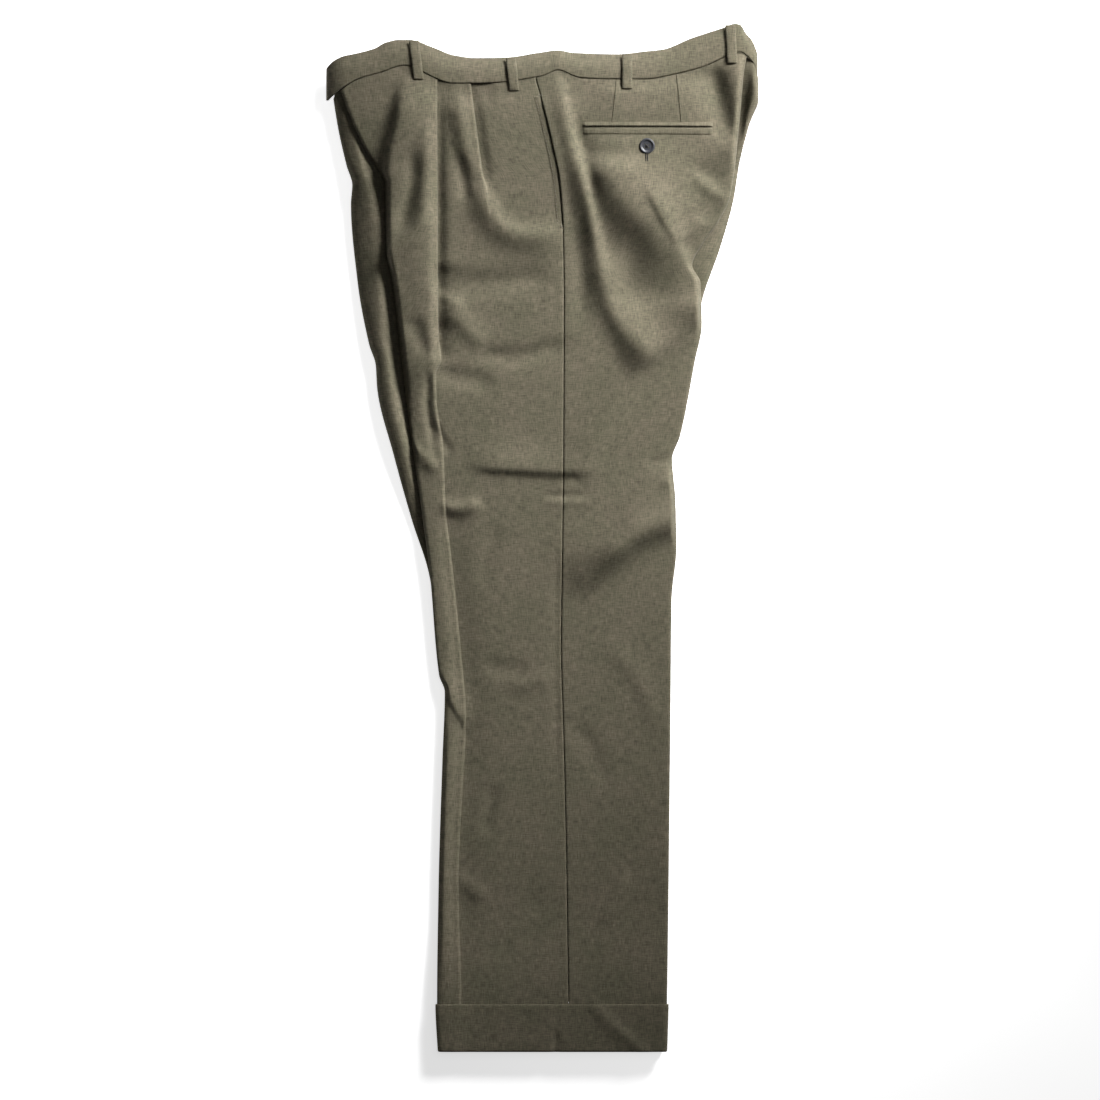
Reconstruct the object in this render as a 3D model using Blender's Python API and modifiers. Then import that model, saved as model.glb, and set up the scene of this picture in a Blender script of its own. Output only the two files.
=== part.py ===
"""Pleated dress trousers of fine wool, laid on their side, leg on leg.

Frame: metres, +Z up from the surface they lie on, +Y towards the waist, -Y
towards the turn-ups, -X towards the front.  The wearer's left leg is on top,
its outseam down the middle; the right leg lies beneath it, flat on the surface.

Every cloth piece is a wall.  A panel's outer face is worked out section by
section across the trousers, from tables of where its edges, pleats and folds
run, and thickened inwards.
"""

import math

import bmesh
import bpy
from mathutils import Vector
from mathutils.bvhtree import BVHTree

# --- driving sizes, in millimetres -------------------------------------------
MM = 0.001
CLOTH = 1.1            # wall of a single cloth panel, with its seam allowances
BAND_WALL = 2.4        # waistband: cloth, interfacing and curtain together
TRIM = 1.2             # belt loops, welt, turn-ups
GAP = 0.3              # between pieces at a seam
CLEAR = 0.45           # between what lies on a panel and the panel
LAY_GAP = 1.2          # between the hidden layers and the panels round them

WAIST_Y = 480.0        # the waist seam at the outseam
CUFF_TOP = -488.0      # upper edge of the turn-ups
HEM_Y = -538.0
CUFF_LIFT = CLOTH + 0.5      # from a leg's face out to its turn-up's
LEFT_CUFF_LIFT = 3.0 * CUFF_LIFT   # the left leg's hem rides on the right one's turn-up
CUFF_RUN = 110.0             # how far above the turn-ups the legs begin to widen
BLEND_LENGTH = 130.0   # rows follow the waist seam's curve this far down
BAND_EDGE_Z = 17.0     # outer face of the upper waistband at its top edge
BAND_TILT = math.radians(40.0)
BAND_END = 226.5       # half the width of the folded waistband
BAND_FLAT_END = 205.0  # where it starts to round away
BAND_END_Z = 7.0
HIDDEN_FILL = 0.68     # how much of the height under the band the inner layers take
HIDDEN_BAND_ROWS = (0.45, 0.25, 0.05)   # their rows beneath the band, as shares of it
HIDDEN_NEAR_BAND = (-12.0, 0.0, 12.0)   # how far round they keep below the band
HIDDEN_NEAR_X = (-16, -8, 0, 8, 16)     # and below the panels
HIDDEN_NEAR_Y = (-26, -13, 0, 13, 26)
HIDDEN_COLUMNS = 14
HIDDEN_ROUND = 6.0     # radius of their sides
HIDDEN_WIDEST = 0.45   # height of their widest part, of their thickness
HIDDEN_THICKER_BELOW = (400.0, 440.0)   # towards the waist they lie on the right waistband
BAND_LIFT = 0.5        # its lower edge, beyond the seam line
BAND_END_CLEAR = 1.6   # how far the panels keep below it at its rounded ends
BAND_BACK_CLEAR = 4.8  # and further yet at the back end
BAND_ENDS = (195.0, 212.0)
BAND_BACK_END = (214.0, 224.0)
UNDER_CLEAR = 3.2      # how far below the band's seam the right leg's upper face ends
UNDER_MEETS = (165.0, 205.0)  # towards its ends the right leg's waist rises to follow that seam
UNDER_SEAM = (457.0, 481.5)  # y of the right leg's waist seam at its front and back ends
BAND_END_KNOTS = (219.0, 223.0, 225.5, 226.5)   # columns that round its ends
BAND_LEAST_STEP = 1.5  # between its columns
BAND_ROWS = 5
BAND_RIGHT_SHORT = 1.5  # the right half's top edge stays this far behind the left one's

FOLD_RX = 5.0          # how far a leg's side fold takes to turn over
TUCK = 12.0            # how far a panel runs on beneath its fold
UNDER_EDGE_SHARE = 0.45   # how high the right leg's side edge stands, of its height
UNDER_ROUND = 0.9      # how much of what shows of it is rounded
WRAP_STEPS = 4         # faces round a side fold
WRAP_COUNT = WRAP_STEPS + 3    # points of a section from just before its fold
EDGE_FADE = 6.0        # the soft folds die out over this much at a leg's side folds
FOLD_FADE = 0.28       # and over this share of their own length at each end
FOLD_REACH = 2.5       # times its width, how far a fold is felt
PLEAT_LEAST_GAP = 0.3  # air between the layers of a pleat
PLEAT_SET = 2.2        # how far the pleats' base lies below the band at the waist seam
PLEATED_FROM = (-158.0, -142.0)   # where along the band this begins and ends
PLEATED_TO = (-46.0, -60.0)
PLEATED_DOWN = (30.0, 4.0)        # and from how far below the band
BAND_FADE = (-4.0, 16.0)          # the soft folds begin this far below the band
CROWN_POWER = 0.75                # how full the legs are between their side folds

LOOP_WIDTH = 11.0
LOOP_DROP = 10.0       # a loop's lower end, below the waist seam
LOOP_SHORT = 1.0       # its upper end, below the band's top edge
LOOP_BOW = 1.4
LOOP_CROWN = 0.5
LOOP_ROWS = 8
BELT_LOOPS = (         # columns: name, x at the lower end, x at the top edge
    ("belt_loop_front_left", -128.6, -134.0),
    ("belt_loop_side_left", -29.0, -32.5),
    ("belt_loop_back_left", 89.0, 89.0),
    ("belt_loop_centre_back", 199.0, 197.0),
)
BUTTON_RADIUS = 8.2
HOLE_RADIUS = 0.9
HOLE_CIRCLE = 2.5      # from the button's centre to a hole's
LEAST_COSINE = 0.4     # the steepest face that a strip is laid on
NEAR = (-1.0, 0.0, 1.0)   # where round a point a strip looks for the face beneath it
BUTTON_HEIGHT = 3.4
BUTTON_STEPS = 36
BUTTON_AT = (109.7, 409.5)
WELT = dict(left=42.0, right=179.0, top=430.5, bottom=421.5)
POCKET_EDGE = dict(top=462.0, bottom=326.0, width=7.0, inset=1.0)
WELT_COLUMNS = 20
POCKET_EDGE_ROWS = 14

# --- where the lines of the trousers run: columns are y, x -------------------
OUTSEAM = ((480, -6.5), (460, -1), (408, 11.5), (372, 18.5), (322, 22), (250, 23),
           (103, 22.5), (-37, 21), (-107, 20), (-217, 23), (-327, 25.5), (-488, 28),
           (-538, 29))
CREASE = ((480, -109.5), (355, -109), (250, -108.5), (188, -108), (172, -113.5),
          (145, -113), (93, -106), (35, -104), (-23, -97.5), (-117, -88), (-188, -82.5),
          (-275, -87), (-359, -90.5), (-488, -87.5), (-538, -90.5))
PLEAT = ((480, -75), (439, -69.5), (397, -64), (361, -59), (300, -54), (150, -50),
         (-538, -30))
FRONT = ((480, -216), (469, -211), (439, -199.5), (408, -185), (387, -172),
         (372, -164.5), (303, -163.5), (266, -156.5), (177, -146), (93, -135.5),
         (35, -127), (-38, -117.5), (-143, -108), (-161, -102), (-233, -104.5),
         (-364, -108.5), (-488, -110), (-538, -107.5))
UNDER_FRONT = ((480, -222), (427, -214), (389, -205), (370, -199), (351, -200.5),
               (269, -193.5), (204, -181.5), (182, -174.5), (158, -173), (87, -155.5),
               (19, -136.5), (-38, -118.5), (-115, -107), (-161, -99), (-243, -102),
               (-380, -106), (-538, -107))
BACK = ((520, 218), (492, 212), (439, 207), (403, 203.5), (356, 196.5), (334, 186),
        (308, 168), (286, 157.5), (268, 166), (224, 167.5), (187, 160.5), (108, 145),
        (83, 136.5), (40, 140), (-9, 141), (-65, 136), (-212, 134.5), (-488, 131),
        (-538, 129.5))
UNDER_BACK = ((520, 226), (492, 226.5), (460, 227), (424, 216.5), (389, 207),
              (355, 201), (308, 188), (249, 168), (203, 159.5), (120, 143), (83, 132.5),
              (-65, 132.5), (-212, 130), (-488, 128), (-538, 127))

# --- the waistband's two edges seen from above: columns are x, y --------------
WAIST_SEAM = ((-227, 458), (-222, 461.5), (-211, 469.5), (-191, 480.5), (-166, 487.5),
              (-151, 493), (-144, 494), (-135, 492.5), (-122, 485.5), (-107, 478.5),
              (-94, 475), (-74, 475), (-37, 476.5), (-12, 480.5), (1, 483), (17, 489),
              (34, 482.5), (42, 480.5), (77, 479.5), (108, 479.5), (133, 483.5),
              (168, 492.5), (189, 502), (203, 507.5), (209, 508), (215, 504.5),
              (222, 497), (227, 483.5))
WAIST_TOP = ((-227, 492), (-219, 499.5), (-209, 504.5), (-193, 508), (-175, 513),
             (-164, 519), (-150, 522), (-139, 522), (-114, 514), (-93, 506),
             (-69, 503), (-38, 503.5), (-3, 508.5), (17, 511), (32, 508.5), (79, 507),
             (109, 510), (127, 512), (156, 523.5), (191, 535), (202, 539),
             (208, 537.5), (213, 529.5), (220, 521.5), (227, 506))

# --- how the layers stack, at the front and back folds and between them -------
# columns: y, top of the right leg, top of the left leg
FRONT_STACK = ((480, 17.5, 22), (430, 16, 21), (387, 13.5, 20), (350, 11, 21),
               (303, 10, 20.5), (200, 8, 17), (93, 6.5, 14), (-38, 5, 11),
               (-200, 4.2, 8.6), (-538, 3.8, 7.4))
BACK_STACK = ((520, 16, 21), (480, 16, 23), (400, 16, 24), (334, 13, 20.5), (286, 10, 18),
              (200, 8, 15.5), (83, 6, 12.5), (-65, 5, 10.5), (-200, 4.2, 8.6),
              (-538, 3.8, 7.4))
# columns: y, how much higher the middle of the left leg stands than its folds
CROWN = ((520, 4), (480, 6), (440, 9.5), (400, 10), (300, 7.5), (150, 4.5), (0, 3),
         (-200, 2.2), (-538, 1.2))

# --- the pleats: columns are y, underlap, how far it is a true fold, step -----
CREASE_FOLD = ((500, 16, 1, 2.9), (470, 16, 1, 2.9), (440, 15, 1, 4.0), (300, 12, 1, 4.0),
               (235, 7, 1, 4.0), (185, 2, 0, 3.6), (150, 1, 0, 1.6), (60, 1, 0, 1.5),
               (-180, 1, 0, 1.5), (-440, 1, 0, 1.2), (-538, 1, 0, 0.8))
PLEAT_FOLD = ((480, 15, 1, 2.9), (465, 14, 1, 2.9), (430, 10, 1, 4.0), (395, 5, 1, 3.6),
              (361, 1, 0, 1.6), (335, 1, 0, 0.3), (310, 1, 0, 0.0), (-538, 1, 0, 0.0))

# --- the largest soft folds: crests, and troughs with a negative height --------------
# columns: height, width on the left and on the right as one goes along it, path in x, y
FOLDS = (
    # seat and hip
    (4.6, 8.5, 16, ((10, 502), (16, 466), (19, 439), (23, 415), (28, 392), (36, 371),
                    (43, 353), (49, 324), (56, 290), (64, 259))),  # roll from the hip
    # valley beside the roll
    (-3.4, 9.5, 6.5, ((34, 442), (37, 418), (43, 394), (50, 370), (59, 351), (62, 330))),
    (10.5, 44, 22, ((61, 418), (65, 392), (70, 372), (79, 358), (90, 344), (106, 329),
                    (124, 313), (149, 290))),  # seat
    # hollow below the welt
    (-3.4, 11.5, 14.5, ((29, 408), (50, 401), (80, 397), (111, 401), (155, 410))),
    (6, 27.5, 19, ((61, 276), (69, 255), (80, 234), (92, 213), (109, 185))),  # lower seat, left arm
    (3.6, 12.5, 23, ((97, 187), (116, 198), (128, 213), (149, 236))),  # lower seat, right arm
    (6.5, 8.5, 38, ((120, 330), (139, 301), (154, 280), (166, 250), (168, 213))),  # roll off the crotch
    (-2.6, 12.5, 12.5, ((90, 234), (120, 229), (145, 223), (181, 221))),
    # crease down to the crotch
    (2.4, 14.5, 6, ((105, 376), (116, 353), (125, 335), (134, 320), (155, 288))),
    (2.6, 9.5, 7.5, ((132, 313), (155, 320), (174, 339))),
    (9, 6.5, 50.5, ((210, 523), (209, 460), (205, 376))),
    # front
    (3, 27.5, 9.5, ((-132, 360), (-140, 332), (-147, 316), (-158, 303), (-174, 290))),
    # drop beside the fly
    (4, 21, 6, ((-145, 481), (-152, 434), (-159, 413), (-162, 397), (-163, 379), (-164, 349))),
    (6.4, 46, 12.5, ((-134, 523), (-144, 471), (-151, 429), (-158, 387), (-162, 350),
                     (-162, 322), (-160, 290), (-155, 259), (-149, 229), (-142, 198),
                     (-133, 154), (-124, 103))),  # front edge
    (-3.2, 19, 6, ((-109, 290), (-109, 261), (-108, 238))),
    (-2.6, 14.5, 6, ((-108, 232), (-108, 201), (-109, 181))),
    # valley on the pleat
    (-3.4, 6, 14.5, ((-78, 502), (-71, 455), (-67, 436), (-63, 409), (-58, 381), (-55, 360))),
    (2, 7.5, 9.5, ((-87, 469), (-85, 429), (-80, 397), (-74, 372))),
    (4.8, 17, 19, ((-78, 376), (-67, 353), (-59, 334), (-50, 320), (-38, 311), (-21, 307),
                   (3, 305), (42, 306))),  # hip to pocket
    (-2.4, 12.5, 12.5, ((-107, 263), (-76, 266), (-44, 268), (19, 276))),
    (2, 12.5, 9.5, ((-107, 248), (-91, 234), (-78, 219), (-59, 196))),
    (-2.2, 8.5, 11.5, ((-80, 183), (-55, 191), (-28, 191), (-2, 196), (40, 208))),
    (-2, 10.5, 10.5, ((-113, 176), (-94, 170), (-76, 167), (-46, 162))),
    # knee
    (-2.8, 14.5, 6, ((97, 64), (50, 65), (8, 66), (-32, 68), (-80, 71))),  # crease across the knee
    (2.8, 9.5, 9.5, ((-116, 40), (-101, 33), (-86, 30), (-72, 33), (-57, 45))),
    (8, 52.5, 18, ((-2, -23), (34, -29), (55, -34), (67, -33), (78, -19), (92, -5), (111, 5),
                   (134, 9), (174, 9))),  # big fold behind the knee
    # lower leg
    (-2.2, 21, 8.5, ((-107, 103), (-100, 3), (-91, -86), (-83, -170), (-82, -191),
                     (-86, -264), (-90, -338), (-89, -422), (-88, -548))),  # valley on the crease
    # lap of the pressed edge
    (2.4, 18, 6, ((-113, -136), (-103, -158), (-92, -176), (-84, -190), (-74, -205))),
)

# --- mesh steps ----------------------------------------------------------------
# columns: from y, to y, number of rows
ROW_STEPS = ((WAIST_Y - GAP / 2, 330, 13), (330, 140, 13), (140, -30, 9), (-30, CUFF_TOP, 9),
             (CUFF_TOP, HEM_Y + 2.5, 2))
COARSE_STEPS = ((WAIST_Y - GAP / 2, 140, 13), (140, CUFF_TOP, 11), (CUFF_TOP, HEM_Y + 2.5, 2))

MATERIALS = dict(   # colour, roughness, metallic
    wool=((0.165, 0.150, 0.118), 0.85, 0.0),
    wool_hidden=((0.120, 0.110, 0.088), 0.9, 0.0),
    horn=((0.020, 0.024, 0.028), 0.35, 0.0),
)


# --- reading the tables ----------------------------------------------------------
def slopes(xs, ys):
    """Slopes for a cubic through the points that never overshoots them."""
    chords = [(ys[i + 1] - ys[i]) / (xs[i + 1] - xs[i]) for i in range(len(xs) - 1)]
    inner = []
    for before, after in zip(chords, chords[1:]):
        same_way = before * after > 0
        inner.append(2.0 * before * after / (before + after) if same_way else 0.0)
    return [chords[0]] + inner + [chords[-1]]


def curve(rows, column=1):
    """A smooth function through one column of a table, against its first."""
    ordered = sorted(rows)
    xs = [float(row[0]) for row in ordered]
    ys = [float(row[column]) for row in ordered]
    ms = slopes(xs, ys)

    def value(x):
        if x <= xs[0]:
            return ys[0]
        if x >= xs[-1]:
            return ys[-1]
        i = max(k for k in range(len(xs) - 1) if xs[k] <= x)
        h = xs[i + 1] - xs[i]
        t = (x - xs[i]) / h
        return (ys[i] * (1 + 2 * t) * (1 - t) ** 2 + ms[i] * h * t * (1 - t) ** 2
                + ys[i + 1] * t * t * (3 - 2 * t) + ms[i + 1] * h * t * t * (t - 1))

    return value


outseam_x = curve(OUTSEAM)
crease_x = curve(CREASE)
pleat_x = curve(PLEAT)
front_x = curve(FRONT)
back_x = curve(BACK)
under_front_x = curve(UNDER_FRONT)
under_back_x = curve(UNDER_BACK)
seam_y = curve(WAIST_SEAM)
top_y = curve(WAIST_TOP)
front_under = curve(FRONT_STACK, 1)
front_top = curve(FRONT_STACK, 2)
back_under = curve(BACK_STACK, 1)
back_top = curve(BACK_STACK, 2)
crown = curve(CROWN)
FIRST_PLEAT = [curve(CREASE_FOLD, column) for column in (1, 2, 3)]
SECOND_PLEAT = [curve(PLEAT_FOLD, column) for column in (1, 2, 3)]


def smooth(a, b, x):
    """0 at a, 1 at b, eased between."""
    t = min(1.0, max(0.0, (x - a) / (b - a)))
    return t * t * (3.0 - 2.0 * t)


def mix(a, b, t):
    return a + (b - a) * t


def row_values(steps):
    """The y of every row, from a table of stretches."""
    values = []
    for start, end, count in steps:
        values += [mix(start, end, i / count) for i in range(count)]
    return values + [steps[-1][1]]


# --- the form of the upper layer ---------------------------------------------------
def cuffed(y):
    """0 well above the turn-ups, 1 inside them."""
    return smooth(CUFF_TOP + CUFF_RUN, CUFF_TOP + 4.0, y)


def measured(height, left, right, path):
    """A fold with what its path's pieces need: start, direction, length, share done."""
    lengths = [math.dist(a, b) for a, b in zip(path, path[1:])]
    pieces, done = [], 0.0
    for (ax, ay), (bx, by), length in zip(path, path[1:], lengths):
        pieces.append((ax, ay, (bx - ax) / length, (by - ay) / length, length, done))
        done += length
    reach = FOLD_REACH * max(left, right)
    box = (min(p[0] for p in path) - reach, max(p[0] for p in path) + reach,
           min(p[1] for p in path) - reach, max(p[1] for p in path) + reach)
    return height, left, right, pieces, done, box


MEASURED_FOLDS = [measured(*fold) for fold in FOLDS]


def one_fold(x, y, height, left, right, pieces, total):
    """One soft fold: highest along its path, wider on one side, dying out at both ends."""
    best, side, share = math.inf, 0.0, 0.0
    for ax, ay, dx, dy, length, done in pieces:
        along = min(length, max(0.0, (x - ax) * dx + (y - ay) * dy))
        away = math.hypot(x - ax - along * dx, y - ay - along * dy)
        if away < best:
            best = away
            side = dx * (y - ay) - dy * (x - ax)
            share = (done + along) / total
    ends = smooth(0.0, FOLD_FADE, share) * smooth(0.0, FOLD_FADE, 1.0 - share)
    return height * ends * math.exp(-(best / (left if side > 0 else right)) ** 2)


def relief(x, y):
    """Height that the soft folds add."""
    total = 0.0
    for height, left, right, pieces, length, (x0, x1, y0, y1) in MEASURED_FOLDS:
        if x0 < x < x1 and y0 < y < y1:
            total += one_fold(x, y, height, left, right, pieces, length)
    return total


def pleat_set(x, y):
    """How far the base of the pleats lies below the band's edge."""
    across = smooth(*PLEATED_FROM, x) * smooth(*PLEATED_TO, x)
    return PLEAT_SET * across * smooth(*PLEATED_DOWN, seam_y(x) - y)


def lay(x, y):
    """Height of the upper panels' outer face."""
    left, right = front_x(y), back_x(y)
    u = min(1.0, max(0.0, (x - left) / (right - left)))
    edge = mix(front_top(y), back_top(y), u)
    inside = smooth(0.0, EDGE_FADE, min(x - left, right - x))
    below_band = seam_y(x) - y
    return (edge + crown(y) * math.sin(math.pi * u) ** CROWN_POWER + LEFT_CUFF_LIFT * cuffed(y)
            + relief(x, y) * inside * smooth(*BAND_FADE, below_band) - pleat_set(x, y))


PLEATS = ((pleat_x, SECOND_PLEAT, 24.0), (crease_x, FIRST_PLEAT, 36.0))   # line, sizes, spread


def pleat_rise(x, y, pleats=2):
    """Height that the pleats' underlaps add to their left; pleats=1 counts the second only."""
    total = 0.0
    for line, (lap, _, step), spread in PLEATS[:pleats]:
        edge = line(y)
        if x < edge:
            total += step(y) * smooth(edge - lap(y) - spread, edge - lap(y), x)
    return total


def bent(x, row_y):
    """The true y of a row at x; at the ends the rows keep clear of the band's rounded ends."""
    follow = smooth(WAIST_Y - BLEND_LENGTH, WAIST_Y, row_y)
    clear = BAND_END_CLEAR * smooth(*BAND_ENDS, abs(x))
    clear += BAND_BACK_CLEAR * smooth(*BAND_BACK_END, x)
    return row_y + (seam_y(x) - WAIST_Y - clear) * follow


def under_bent(x, row_y, raised=0.0):
    """The same for the right leg, whose waist seam runs straight where it lies on the
    surface; raised is 1 on its upper face, whose ends follow the seam above."""
    line = mix(UNDER_SEAM[0], UNDER_SEAM[1], (x + BAND_END) / (2.0 * BAND_END))
    meeting = raised * smooth(*UNDER_MEETS, abs(x)) * (seam_y(x) - UNDER_CLEAR - line)
    return row_y + (line + meeting - WAIST_Y) * smooth(WAIST_Y - BLEND_LENGTH, WAIST_Y, row_y)


def on_row(feature, row_y):
    """A feature's x and true y on a row, which bends with the waist seam."""
    y = row_y
    for _ in range(4):
        x = feature(y)
        y = bent(x, row_y)
    return x, y


# --- sections across the panels ---------------------------------------------------
def run(x_from, x_to, count, row_y):
    """Points over a stretch of panel."""
    points = []
    for i in range(count):
        x = mix(x_from, x_to, i / count)
        y = bent(x, row_y)
        points.append((x, y, lay(x, y) + pleat_rise(x, y)))
    return points


def fold_points(x_line, row_y, pleats_beneath, pleat):
    """A pleat's turn, from the cloth to its right up onto the cloth to its left."""
    underlap, folded, rise = (column(bent(x_line, row_y)) for column in pleat)
    gap = max(PLEAT_LEAST_GAP, rise / 2.0 - CLOTH)
    turn = gap / 2.0
    fold = ((-underlap * 0.4, 0.0), (-underlap, 0.0), (-underlap - turn, turn),
            (-underlap, gap), (-2.0, gap), (0.0, gap + CLOTH * 0.9), (-1.6, rise))
    step = ((3.3, 0.0), (2.8, rise * 0.1), (2.2, rise * 0.3), (1.6, rise * 0.54),
            (1.0, rise * 0.78), (0.2, rise * 0.95), (-1.2, rise))
    points = []
    for (fx, fz), (sx, sz) in zip(fold, step):
        x = x_line + mix(sx, fx, folded)
        y = bent(x, row_y)
        base = lay(x, y) + pleat_rise(x, y, pleats_beneath)
        points.append((x, y, base + mix(sz, fz, folded)))
    return points


def wrap_points(x_edge, towards, row_y, z_top, z_bottom):
    """A side fold: over the edge and on beneath it; towards is +1 or -1, inwards."""
    points = []
    middle, half = (z_top + z_bottom) / 2.0, (z_top - z_bottom) / 2.0
    for i in range(1, WRAP_STEPS + 1):
        angle = math.pi * i / WRAP_STEPS
        x = x_edge + towards * FOLD_RX * (1.0 - math.sin(angle))
        points.append((x, bent(x, row_y), middle + half * math.cos(angle)))
    x = x_edge + towards * (FOLD_RX + TUCK)
    points.append((x, bent(x, row_y), z_bottom))
    return points


def front_left_section(row_y):
    """Outseam, second pleat, first pleat and crease, front fold, and beneath it."""
    x_seam = on_row(outseam_x, row_y)[0]
    x_pleat = on_row(pleat_x, row_y)[0]
    x_crease = on_row(crease_x, row_y)[0]
    x_front, y_front = on_row(front_x, row_y)
    x_turn = x_front + FOLD_RX
    points = run(x_seam - GAP / 2, x_pleat + 4, 6, row_y)
    points += fold_points(x_pleat, row_y, 0, SECOND_PLEAT)
    points += run(x_pleat - 5, x_crease + 4, 4, row_y)
    points += fold_points(x_crease, row_y, 1, FIRST_PLEAT)
    points += run(x_crease - 4, x_turn, 3, row_y)
    points += run(x_turn, x_turn, 1, row_y)
    z_bottom = left_leg_bottom(front_under, y_front)
    return points + wrap_points(x_front, 1, row_y, points[-1][2], z_bottom)


def back_left_section(row_y):
    """Outseam to the back fold, and beneath it."""
    x_back, y_back = on_row(back_x, row_y)
    x_turn = x_back - FOLD_RX
    points = run(on_row(outseam_x, row_y)[0] + GAP / 2, x_turn, 13, row_y)
    points += run(x_turn, x_turn, 1, row_y)
    z_bottom = left_leg_bottom(back_under, y_back)
    return points + wrap_points(x_back, -1, row_y, points[-1][2], z_bottom)


def left_leg_bottom(under, y):
    return under(y) + CLEAR + LEFT_CUFF_LIFT * cuffed(y)


def right_leg_section(row_y, edge, cover, under, towards):
    """Right outseam, along the surface, over the side fold and in beneath the left leg."""
    x_edge = edge(under_bent(edge(row_y), row_y))
    y_edge = under_bent(x_edge, row_y)
    x_cover = cover(y_edge)
    z_floor = CUFF_LIFT * cuffed(y_edge)
    z_top = under(y_edge) + z_floor
    z_edge = mix(z_floor, z_top, UNDER_EDGE_SHARE)
    x_seam = outseam_x(row_y) - towards * GAP / 2
    shown = max(0.0, (x_cover - x_edge) * towards)
    reach = FOLD_RX + UNDER_ROUND * shown
    x_flat = x_edge + towards * FOLD_RX
    points = [(mix(x_seam, x_flat, i / 3), z_floor, 0.0) for i in range(3)]
    for i in range(4):
        angle = math.pi / 2 * i / 3
        points.append((x_edge + towards * FOLD_RX * (1 - math.sin(angle)),
                       z_edge - (z_edge - z_floor) * math.cos(angle), i / 6))
    for i in range(1, 5):
        angle = math.pi / 2 * i / 4
        points.append((x_edge + towards * reach * (1 - math.cos(angle)),
                       z_edge + (z_top - z_edge) * math.sin(angle), min(1.0, 0.5 + i / 4)))
    x_end = max(towards * x_cover, towards * x_edge) + FOLD_RX + TUCK
    points.append((towards * x_end, z_top, 1.0))
    return [(x, under_bent(x, row_y, raised), z) for x, z, raised in points]


# --- waistband ----------------------------------------------------------------------
def band_rounding(x):
    """1 along the band, falling to 0 at its rounded ends."""
    past = min(1.0, max(0.0, (abs(x) - BAND_FLAT_END) / (BAND_END - BAND_FLAT_END)))
    return math.sqrt(1.0 - past * past)


def band_point(x, q):
    """The upper band's outer face: q is 0 at the waist seam and 1 at the top edge."""
    angle = q * BAND_TILT
    y_seam = seam_y(x) + BAND_LIFT
    y = y_seam + (top_y(x) - y_seam) * math.sin(angle) / math.sin(BAND_TILT)
    fall = (math.cos(angle) - math.cos(BAND_TILT)) / (1.0 - math.cos(BAND_TILT))
    z = mix(BAND_EDGE_Z, lay(x, y_seam) + pleat_set(x, y_seam), fall)
    return x, y, BAND_END_Z + (z - BAND_END_Z) * band_rounding(x)


def make_waistband_left(material):
    columns = band_columns()
    rows = [[band_point(x, i / BAND_ROWS) for x in columns] for i in range(BAND_ROWS + 1)]
    return sheet("waistband_left", rows, BAND_WALL, material)


def make_waistband_right(material):
    """The right half, flat on the surface beneath the left one."""
    columns = [x for x in band_columns() if abs(x) < BAND_FLAT_END + 14]
    rows = []
    for i in range(3):
        rows.append([(x, mix(under_bent(x, WAIST_Y) + GAP, top_y(x) - BAND_RIGHT_SHORT, i / 2), 0.0)
                     for x in columns])
    return sheet("waistband_right", rows, BAND_WALL, material, outwards_down=True)


def band_columns():
    """The band's columns stand on those of the panels, so that both share one seam line."""
    top_row = WAIST_Y - GAP / 2
    knots = [p[0] for p in front_left_section(top_row) + back_left_section(top_row)]
    knots += [side * x for side in (-1, 1) for x in BAND_END_KNOTS]
    columns = []
    for x in sorted(knots):
        if not columns or x - columns[-1] > BAND_LEAST_STEP:
            columns.append(x)
    return columns


# --- from points to solids -----------------------------------------------------------
def finish(name, mesh_builder, material):
    """Puts a bmesh into the scene as a named, smooth-shaded object."""
    mesh = bpy.data.meshes.new(name)
    mesh_builder.to_mesh(mesh)
    mesh_builder.free()
    mesh.materials.append(material)
    mesh.shade_smooth()
    thing = bpy.data.objects.new(name, mesh)
    bpy.data.collections["pleated_trousers"].objects.link(thing)
    return thing


def loft(rows, closed=False, capped=False):
    """A bmesh skinned over rows of points; closed joins each row's ends."""
    builder = bmesh.new()
    grid = [[builder.verts.new([value * MM for value in point]) for point in row] for row in rows]
    count = len(grid[0])
    last = count if closed else count - 1
    for upper, lower in zip(grid, grid[1:]):
        for i in range(last):
            j = (i + 1) % count
            builder.faces.new((upper[i], lower[i], lower[j], upper[j]))
    for ring in (grid[0], grid[-1]) if capped else ():
        for i in range(count // 2 - 1):
            builder.faces.new((ring[i], ring[i + 1], ring[-i - 2], ring[-i - 1]))
    return builder


def thicken(thing, thickness):
    """Gives a cloth face its wall, inwards."""
    wall = thing.modifiers.new("Cloth", "SOLIDIFY")
    wall.thickness = thickness * MM
    wall.offset = -1.0


def sheet(name, rows, thickness, material, outwards_down=False):
    """A cloth wall: the outer face lofted over the rows, thickened inwards."""
    builder = loft(rows)
    builder.normal_update()
    up = sum(face.normal.z for face in builder.faces if abs(face.normal.z) > 0.5)
    if (up < 0) != outwards_down:
        bmesh.ops.reverse_faces(builder, faces=builder.faces)
    thing = finish(name, builder, material)
    thicken(thing, thickness)
    return thing


def make_panels(material):
    fine = row_values(ROW_STEPS)
    coarse = row_values(COARSE_STEPS)
    upper = [sheet("front_left", [front_left_section(y) for y in fine], CLOTH, material),
             sheet("back_left", [back_left_section(y) for y in fine], CLOTH, material)]
    fronts = [right_leg_section(y, under_front_x, front_x, front_under, 1) for y in coarse]
    sheet("front_right", fronts, CLOTH, material, outwards_down=True)
    backs = [right_leg_section(y, under_back_x, back_x, back_under, -1) for y in coarse]
    sheet("back_right", backs, CLOTH, material, outwards_down=True)
    return upper


def lowest(x, y):
    """The least height of the upper panels near a point."""
    return min(lay(x + dx, y + dy) for dx in HIDDEN_NEAR_X for dy in HIDDEN_NEAR_Y)


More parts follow.
